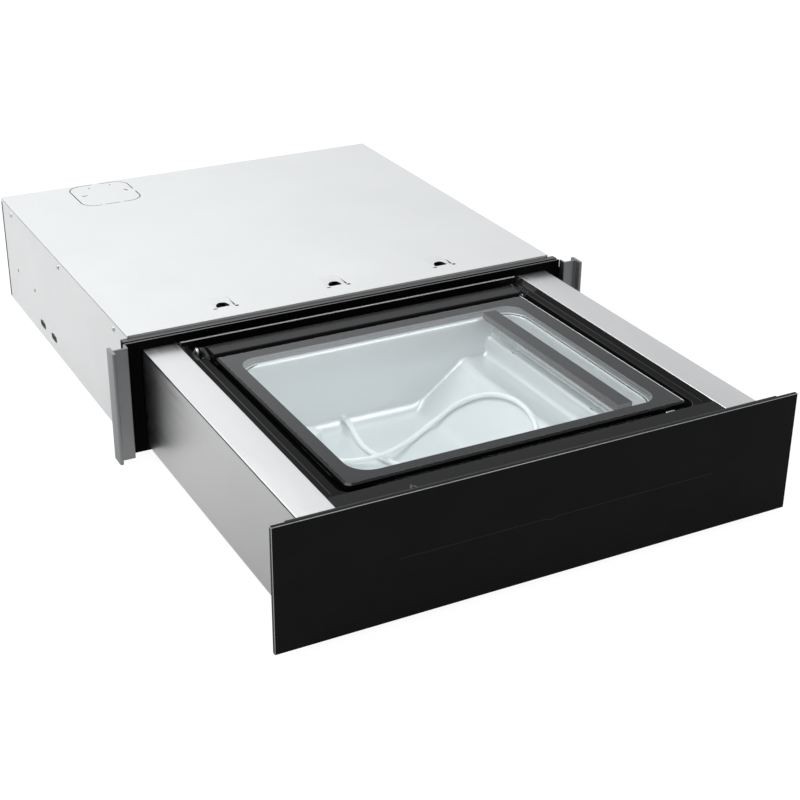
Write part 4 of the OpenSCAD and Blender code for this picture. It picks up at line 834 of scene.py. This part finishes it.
class DRAWER_OT_side_boxes(bpy.types.Operator):
    """Hollow brushed side boxes, open below and behind, and the drawer's bottom and back"""

    bl_idname = "drawer.side_boxes"
    bl_label = "Side boxes"

    def execute(self, context):
        x0, x1, y0, y1, z0, z1 = span("side_box_right")
        # A fine groove under the outer bend is the seam of the box's top sheet; its inside is
        # black, painted shade in the seam
        sheet, bend, seam, groove, depth = 1.0, 1.0, z1 - 1.1, 1.6, 0.6
        outer = rounded([(x0, z0), (x0, z1), (x1, z1), (x1, seam), (x1 - depth, seam),
                         (x1 - depth, seam - groove), (x1, seam - groove), (x1, z0)],
                        [0, bend, bend, 0, 0, 0, 0, 0], 6)
        inner = [(x1 - sheet, z0), (x1 - sheet, z1 - sheet), (x0 + sheet, z1 - sheet),
                 (x0 + sheet, z0)]
        for side, sign in SIDES:
            bm = bmesh.new()
            for f in prism(bm, [(sign * x, z) for x, z in outer + inner], "Y", y0, y1):
                middle = f.calc_center_median()
                # Faces inside the groove take black rubber: painted shade in the seam
                f.material_index = int(seam - groove - 0.1 < middle.z < seam + 0.1
                                       and x1 - 0.9 < abs(middle.x) < x1 - 0.1)
            block(bm, *sorted((sign * (x0 + sheet), sign * (x1 - sheet))), y0, y0 + sheet, z0,
                  z1 - sheet - bend)
            make_piece(f"brushed_side_box_{side}", bm, "drawer", "bright_steel",
                       ["brushed_stainless", "black_rubber"], [f"side_box_{side}"])
        soften_each(("base_pan", "zinc_plated_steel", 0.15),
                    ("rear_plate", "zinc_plated_steel", 0.15))
        return {"FINISHED"}


class DRAWER_OT_front(bpy.types.Operator):
    """Black front glass with its ground edge and fine line, on a folded carrier"""

    bl_idname = "drawer.front"
    bl_label = "Front"

    def execute(self, context):
        softened("front_carrier", "black_powder_coat", 0.3)
        x0, x1, y0, y1, z0, z1 = span("front_glass")
        skin = 0.04
        bm = drawn(rectangle(x0, x1, y0 + skin, y1), "Z", z0, z1)
        make_piece("front_glass_panel", bm, "drawer", "front_glass",
                   ["back_painted_glass", "ground_glass_edge"], ["front_glass"],
                   context.scene.drawer_sizes.glass_edge / MM, 1, edge_finish=1)
        # The thin printed line across the front, with a small chevron in its middle
        line_z, half = 73.0, 0.35
        line = [(-169, line_z), (-8, line_z), (-1, line_z - 2.2), (6, line_z), (196, line_z)]
        outline = [(x, z + half) for x, z in line] + [(x, z - half) for x, z in line[::-1]]
        bm = drawn(outline, "Y", y0, y0 + skin)
        make_piece("front_line_print", bm, "drawer", "front_glass", "faint_grey_print")
        return {"FINISHED"}


class DRAWER_OT_ledge(bpy.types.Operator):
    """Control ledge with its touch symbol, and the touch board under it"""

    bl_idname = "drawer.ledge"
    bl_label = "Control ledge"

    def execute(self, context):
        soften_each(("control_panel", "printed_ledge_film", 0.5),
                    ("touch_board", "solder_masked_board", 0.1))
        # An open ring with a stroke in its gap, which the camera's low angle makes round
        x, y, z = -142.5, -409 + MOUTH_Y, span("control_panel")[5]
        low, high = z - 0.02, z + 0.03
        arc = [math.radians(a) for a in range(-235, 56, 15)]
        outer = [(x + 3.0 * math.cos(a), y + 4.6 * math.sin(a)) for a in arc]
        inner = [(x + 2.2 * math.cos(a), y + 3.6 * math.sin(a)) for a in arc[::-1]]
        bm = drawn(outer + inner, "Z", low, high)
        block(bm, x - 0.4, x + 0.4, y + 1.4, y + 6.0, low, high)
        make_piece("power_symbol", bm, "drawer", "grey_plastic", "grey_print")
        return {"FINISHED"}


class DRAWER_OT_deck(bpy.types.Operator):
    """Moulded deck round the lid, its rear rail, the pump's cover and the hinge brackets"""

    bl_idname = "drawer.deck"
    bl_label = "Deck"

    def execute(self, context):
        softened("deck_frame", ["moulded_black_abs", "polished_black_abs"], 0.8, 3,
                 edge_finish=1)
        self.make_coves()
        softened("rear_deck_rail", "bright_deck_rail", 0.4)
        # A black film leaves only the rail's upper edge, with its painted highlight, to show
        x0, x1, y0, _, z0, z1 = span("rear_deck_rail")
        bright, front, sunk = 1.1, 0.2, 0.1
        bm = drawn(rectangle(x0, x1, y0 - front, y0 + sunk), "Z", z0, z1 - bright)
        make_piece("deck_rail_film", bm, "drawer", SLOTS["deck_frame"], "black_powder_coat")
        # Rims and bevels of the brackets take bright zinc plate, their flat sides dark phosphate:
        # a painted highlight along the rims
        softened("hinge_brackets", ["phosphated_steel", "zinc_plated_steel"], 1.2, 4,
                 second=lambda p, n: abs(n.x) < 0.5, edge_finish=1)
        soften_each(("pump_cover", "zinc_plated_steel", 0.2),
                    ("hinge_pins", "phosphated_steel", 0.3),
                    ("lid_switch_tab", "chrome_plate", 0.5),
                    ("lid_switch_body", "black_rubber", 0.4))
        return {"FINISHED"}

    def make_coves(self):
        """The deck's polished rims, each curving up to its side box."""
        _, x1, y0, y1, _, z1 = span("deck_frame")
        width, rise, gap, end, steps = 9.0, 2.6, 0.05, 8, 12
        radius = (width ** 2 + rise ** 2) / (2 * rise)
        reach = math.asin(width / radius)
        outline = [(x1 - gap - width + radius * math.sin(reach * k / steps),
                    z1 - rise + radius * (1 - math.cos(reach * k / steps)))
                   for k in range(steps + 1)]
        outline += [(x1 - gap, z1 - rise - 1), (x1 - gap - width, z1 - rise - 1)]
        for side, sign in SIDES:
            bm = drawn([(sign * x, z) for x, z in outline], "Y", y0 + end, y1 - end)
            make_piece(f"deck_cove_{side}", bm, "drawer", SLOTS["deck_frame"],
                       "polished_black_abs")


def solid(name, outline, along, start, end):
    """A prism as an object of its own, for the chamber's cuts."""
    bm = drawn(outline, along, start, end)
    bmesh.ops.recalc_face_normals(bm, faces=bm.faces)
    return new_object(name, new_mesh(name, bm))


class DRAWER_OT_chamber(bpy.types.Operator):
    """Deep-drawn chamber with its soft bends, its seal and its suction port"""

    bl_idname = "drawer.chamber"
    bl_label = "Chamber"

    def execute(self, context):
        self.make_pan(context.scene.drawer_sizes.chamber_voxel)
        self.make_seal()
        soften_each(("suction_port", "frosted_cap", 0.3),
                    ("lift_cylinders", "cast_aluminium", 0.4))
        return {"FINISHED"}

    def make_pan(self, voxel):
        """The space in the chamber is cut from three prisms, smoothed, and given its wall."""
        x0, x1, y0, y1, under, rim = span("vacuum_chamber")
        sheet, flange, flare, relax_steps = 1.0, 16.0, 11.0, 14
        x0, x1, y0, y1 = x0 + flange, x1 - flange, y0 + flange, y1 - flange
        floor, shelf, ledge, top = under + sheet, rim - 43.5, rim - 21.5, rim + 12
        toe, slope_low, slope_high = x0 + 5, x1 - 143, x1 - 80
        shelf_end, ledge_start, ledge_end = x1 - 44, x1 - 41, x1 - 3
        profile = rounded([(x0, top), (x0, rim), (toe, floor), (slope_low, floor),
                           (slope_high, shelf), (shelf_end, shelf), (ledge_start, ledge),
                           (ledge_end, ledge), (x1, rim), (x1, top)],
                          [0, 0, 18, 16, 11, 8, 3, 6, 0, 0], 8)
        ends = rounded([(y0, floor), (y1 - flare, floor), (y1 - flare, shelf + 4), (y1, rim),
                        (y1, top), (y0, top)], [12, 20, 60, 0, 0, 0], 10)
        plan = rounded(rectangle(x0, x1, y0, y1), 26, 12)
        brim = rounded(rectangle(x0, x1, y0, y1, -flange), 40, 12)
        space = solid("chamber_space", profile, "Y", y0, y1)
        others = [(solid("chamber_plan", plan, "Z", floor - 1, top), "INTERSECT"),
                  (solid("chamber_ends", ends, "X", x0 - 1, x1 + 1), "INTERSECT"),
                  (solid("chamber_brim", brim, "Z", rim, top + 4), "UNION")]
        for other, way in others:
            mod = space.modifiers.new("cut", "BOOLEAN")
            mod.operation, mod.solver, mod.object = way, "EXACT", other
        mod = space.modifiers.new("even", "REMESH")
        mod.mode, mod.voxel_size = "VOXEL", voxel
        mod = space.modifiers.new("relax", "SMOOTH")
        mod.factor, mod.iterations = 0.5, relax_steps
        mesh = evaluated_mesh(space)
        for used in (space, *(other for other, _ in others)):
            bpy.data.objects.remove(used)
        bm = bmesh.new()
        bm.from_mesh(mesh)
        bpy.data.meshes.remove(mesh)
        # What lies over the brim goes, and so do the brim's own outer faces
        cut, band = (rim + 0.8) * MM, 1.6 * MM
        bmesh.ops.bisect_plane(bm, geom=bm.verts[:] + bm.edges[:] + bm.faces[:],
                               plane_co=(0, 0, cut), plane_no=(0, 0, 1), clear_outer=True)
        inner = flange - 1
        outside = [v for v in bm.verts if v.co.z > cut - band and not (
            x0 - inner < v.co.x / MM < x1 + inner and y0 - inner < v.co.y / MM < y1 + inner)]
        bmesh.ops.delete(bm, geom=outside, context="VERTS")
        bmesh.ops.reverse_faces(bm, faces=bm.faces)
        piece = mesh_piece("drawn_chamber", new_mesh("drawn_chamber", bm, 1), "drawer",
                           "chamber_steel", "blasted_stainless", ["vacuum_chamber"], smooth=180)
        wall = piece.modifiers.new("wall", "SOLIDIFY")
        wall.thickness, wall.offset = sheet * MM, -1

    def make_seal(self):
        """A flat foot with a narrower lip on it, all round the chamber."""
        x0, x1, y0, y1, z0, z1 = span("lid_seal")
        foot = z0 + 2.5
        bm = bmesh.new()
        for inset, width, low, high, r in ((0.0, 6.0, z0, foot, 34), (1.4, 3.2, foot, z1, 32)):
            outer = rounded(rectangle(x0, x1, y0, y1, inset), r, 10)
            inner = rounded(rectangle(x0, x1, y0, y1, inset + width), r - width, 10)
            ring_prism(bm, outer, inner, low, high)
        make_piece("silicone_lid_seal", bm, "drawer", "seal_rubber", "grey_silicone",
                   ["lid_seal"], 0.5, 2)


class DRAWER_OT_sealing_bar(bpy.types.Operator):
    """Heated sealing bar on its lift rods, with the release tape over its wire"""

    bl_idname = "drawer.sealing_bar"
    bl_label = "Sealing bar"

    def execute(self, context):
        soften_each(("sealing_bar", "milled_aluminium", 0.5),
                    ("sealing_tape", "glass_cloth_tape", 0.15), ("lift_rods", "chrome_plate", 0.3))
        return {"FINISHED"}


def lid_turn(unit):
    """Turns what is drawn with the lid shut to where the lid rests; unit is a metre in it."""
    place = Matrix.Translation(Vector(HINGE["pos_m"]) * unit)
    rest = math.radians(HINGE["range_deg"][0])
    return place @ Matrix.Rotation(rest, 4, "X") @ place.inverted()


def lid_span(node):
    """A lid node's box in millimetres with the lid shut: x0, x1, y0, y1, z0, z1."""
    shut = lid_turn(1).inverted()
    points = [shut @ v.co / MM for v in NODES[node].data.vertices]
    return [end(p[k] for p in points) for k in range(3) for end in (min, max)]


def lid_piece(name, bm, slot, finishes, replaces=(), smooth=32):
    """A piece of the lid, drawn with the lid shut."""
    bm.transform(lid_turn(1 / MM))
    make_piece(name, bm, "lid", slot, finishes, replaces, smooth=smooth)


# How far print and counter bar reach into the glass, so that no air shows between them
INTO_GLASS = 0.15


class DRAWER_OT_lid(bpy.types.Operator):
    """Glass lid with its printed border, hinge bar, arms and counter bar"""

    bl_idname = "drawer.lid"
    bl_label = "Lid"

    def execute(self, context):
        sizes = context.scene.drawer_sizes
        x0, x1, y0, y1, z0, z1 = lid_span("lid_glass")
        # Its top edge is ground to a slope, twice as wide as it is deep
        edge = sizes.lid_edge / MM
        outer = rounded(rectangle(x0, x1, y0, y1), [7, 7, 1.5, 1.5], 8)
        top = rounded(rectangle(x0, x1, y0, y1, 2 * edge), [5.5, 5.5, 1, 1], 8)
        bm = bmesh.new()
        rings = [[bm.verts.new((x, y, z)) for x, y in outline]
                 for outline, z in ((outer, z0), (outer, z1 - edge), (top, z1))]
        bm.faces.new(rings[0][::-1])
        bm.faces.new(rings[-1])
        for f in bridge(bm, *rings[:2]) + bridge(bm, *rings[1:]):
            f.normal_update()
            # Only the right edge takes the pale matt finish, a painted highlight; the others stay
            # dark
            right = f.normal.x > 0.2 and f.normal.z > 0.2 and f.normal.y > -0.1
            f.material_index = 2 if right else 1
        lid_piece("lid_glass_pane", bm, "lid_glass",
                  ["lid_float_glass", "polished_glass_edge", "frosted_glass_edge"],
                  ["lid_glass"], smooth=15)
        border = rounded(rectangle(x0, x1, y0, y1, 1.6), [5.4, 5.4, 1, 1], 8)
        r = sizes.window_radius / MM
        window = rounded(rectangle(-178.4, 178.4, -358.5 + MOUTH_Y, -64.8 + MOUTH_Y),
                         [1.3 * r, r, r, r], 8)
        bm = bmesh.new()
        ring_prism(bm, border, window, z0 - 0.05, z0 + INTO_GLASS)
        lid_piece("lid_border_print", bm, "lid_glass", "ceramic_print")
        self.make_hinge_bar(z0)
        softened("hinge_arms", "black_powder_coat", 0.5)
        self.make_counter_bar(z0)
        return {"FINISHED"}

    def make_counter_bar(self, glass_under):
        """The silicone bar, narrower at its foot."""
        x0, x1, y0, y1, z0, _ = lid_span("counter_bar")
        step, foot, top = 1.5, z0 + 2, glass_under + INTO_GLASS
        outline = rounded([(x0 + step, z0), (x1 - step, z0), (x1 - step, foot), (x1, foot),
                           (x1, top), (x0, top), (x0, foot), (x0 + step, foot)],
                          [0.6, 0.6, 0.2, 0.5, 0, 0, 0.5, 0.2], 4)
        lid_piece("silicone_counter_bar", drawn(outline, "Y", y0, y1), "bar_silicone",
                  "dark_silicone", ["counter_bar"])

    def make_hinge_bar(self, glass_under):
        """The bar behind the glass, with a flat top and a short nose over the glass."""
        x0, x1, y0, y1, z0, z1 = lid_span("hinge_bar")
        nose, fall, slope = 9, 2, 12
        front = y0 + nose
        profile = rounded([(y0, z0), (y1, z0), (y1, z1 - fall), (y1 - slope, z1), (front, z1),
                           (front, glass_under), (y0, glass_under)],
                          [0.5, 2, 1.5, 22, 1.2, 0, 0], 8)
        lid_piece("painted_hinge_bar", drawn(profile, "X", x0, x1), "grey_plastic",
                  "painted_hinge_bar", ["hinge_bar"])


# The balls' rows, and their places in millimetres from the middle member
BALL_ROWS, BALL_PITCH, BALL_START, BALL_OUT, BALL_PROUD = 12, 14, 20, 0.6, 0.2


class DRAWER_OT_runners(bpy.types.Operator):
    """Telescopic runners with their balls, and the brackets that carry them"""

    bl_idname = "drawer.runners"
    bl_label = "Runners"

    def execute(self, context):
        for side, sign in SIDES:
            soften_each(*((f"runner_{part}_{side}", "zinc_plated_steel", 0.15)
                          for part in ("bracket", "fixed", "mid", "inner")))
            x0, x1, y0, _, z0, z1 = span(f"runner_mid_{side}")
            middle = (x0 + x1) / 2 + sign * BALL_OUT
            spots = [((middle, y0 + BALL_START + BALL_PITCH * k, z), (0, 0, 1))
                     for k in range(BALL_ROWS) for z in (z0 - BALL_PROUD, z1 + BALL_PROUD)]
            bm = bmesh.new()
            bmesh.ops.create_uvsphere(bm, u_segments=10, v_segments=6, radius=1.0)
            scale = context.scene.drawer_sizes.ball_diameter / (2 * MM)
            repeat(f"runner_balls_{side}", bm, spots, scale, f"mid_runner_{side}",
                   "bright_steel", "chrome_plate")
        return {"FINISHED"}


class DRAWER_OT_machinery(bpy.types.Operator):
    """Pump, fan, valve, boards, latch and mains parts"""

    bl_idname = "drawer.machinery"
    bl_label = "Machinery"

    def execute(self, context):
        soften_each(
            ("pump_bracket", "zinc_plated_steel", 0.3), ("pump_mounts", "black_rubber", 0.6),
            ("pump_motor", "phosphated_steel", 0.6), ("pump_head", "cast_aluminium", 0.5),
            ("pump_shaft", "chrome_plate", 0.3), ("pump_fan", "black_rubber", 0.2),
            ("fan_cowl", "black_rubber", 0.3), ("vent_valve", "ivory_nylon", 0.5),
            ("vacuum_pipe", "black_rubber", 0.0), ("control_board", "solder_masked_board", 0.3),
            ("push_latch_body", "phosphated_steel", 0.5),
            ("push_latch_plunger", "black_rubber", 0.4), ("terminal_block", "ivory_nylon", 0.4),
            ("mains_filter", "zinc_plated_steel", 0.5),
            ("sealing_transformer", "varnished_windings", 0.5))
        return {"FINISHED"}


class DRAWER_PT_panel(bpy.types.Panel):
    """Buttons for the pieces, in the order in which they are made"""

    bl_label = "Vacuum sealing drawer"
    bl_idname = "DRAWER_PT_panel"
    bl_space_type = "VIEW_3D"
    bl_region_type = "UI"
    bl_category = "Drawer"

    def draw(self, context):
        column = self.layout.column()
        for group in (context.scene.drawer_sizes, context.scene.drawer_colours):
            for key in group.__annotations__:
                column.prop(group, key)
        for operator in OPERATORS:
            column.operator(operator.bl_idname)


OPERATORS = (DRAWER_OT_stage, DRAWER_OT_hose, DRAWER_OT_housing, DRAWER_OT_collar,
             DRAWER_OT_side_boxes, DRAWER_OT_front, DRAWER_OT_ledge, DRAWER_OT_deck,
             DRAWER_OT_chamber, DRAWER_OT_sealing_bar, DRAWER_OT_lid, DRAWER_OT_runners,
             DRAWER_OT_machinery)
CLASSES = (DrawerSizes, DrawerColours, *OPERATORS, DRAWER_PT_panel)


def register():
    for cls in CLASSES:
        bpy.utils.register_class(cls)
    bpy.types.Scene.drawer_sizes = bpy.props.PointerProperty(type=DrawerSizes)
    bpy.types.Scene.drawer_colours = bpy.props.PointerProperty(type=DrawerColours)


def unregister():
    del bpy.types.Scene.drawer_colours
    del bpy.types.Scene.drawer_sizes
    for cls in reversed(CLASSES):
        bpy.utils.unregister_class(cls)


def main():
    register()
    for operator in OPERATORS:
        group, name = operator.bl_idname.split(".")
        getattr(getattr(bpy.ops, group), name)()


if __name__ == "__main__":
    main()
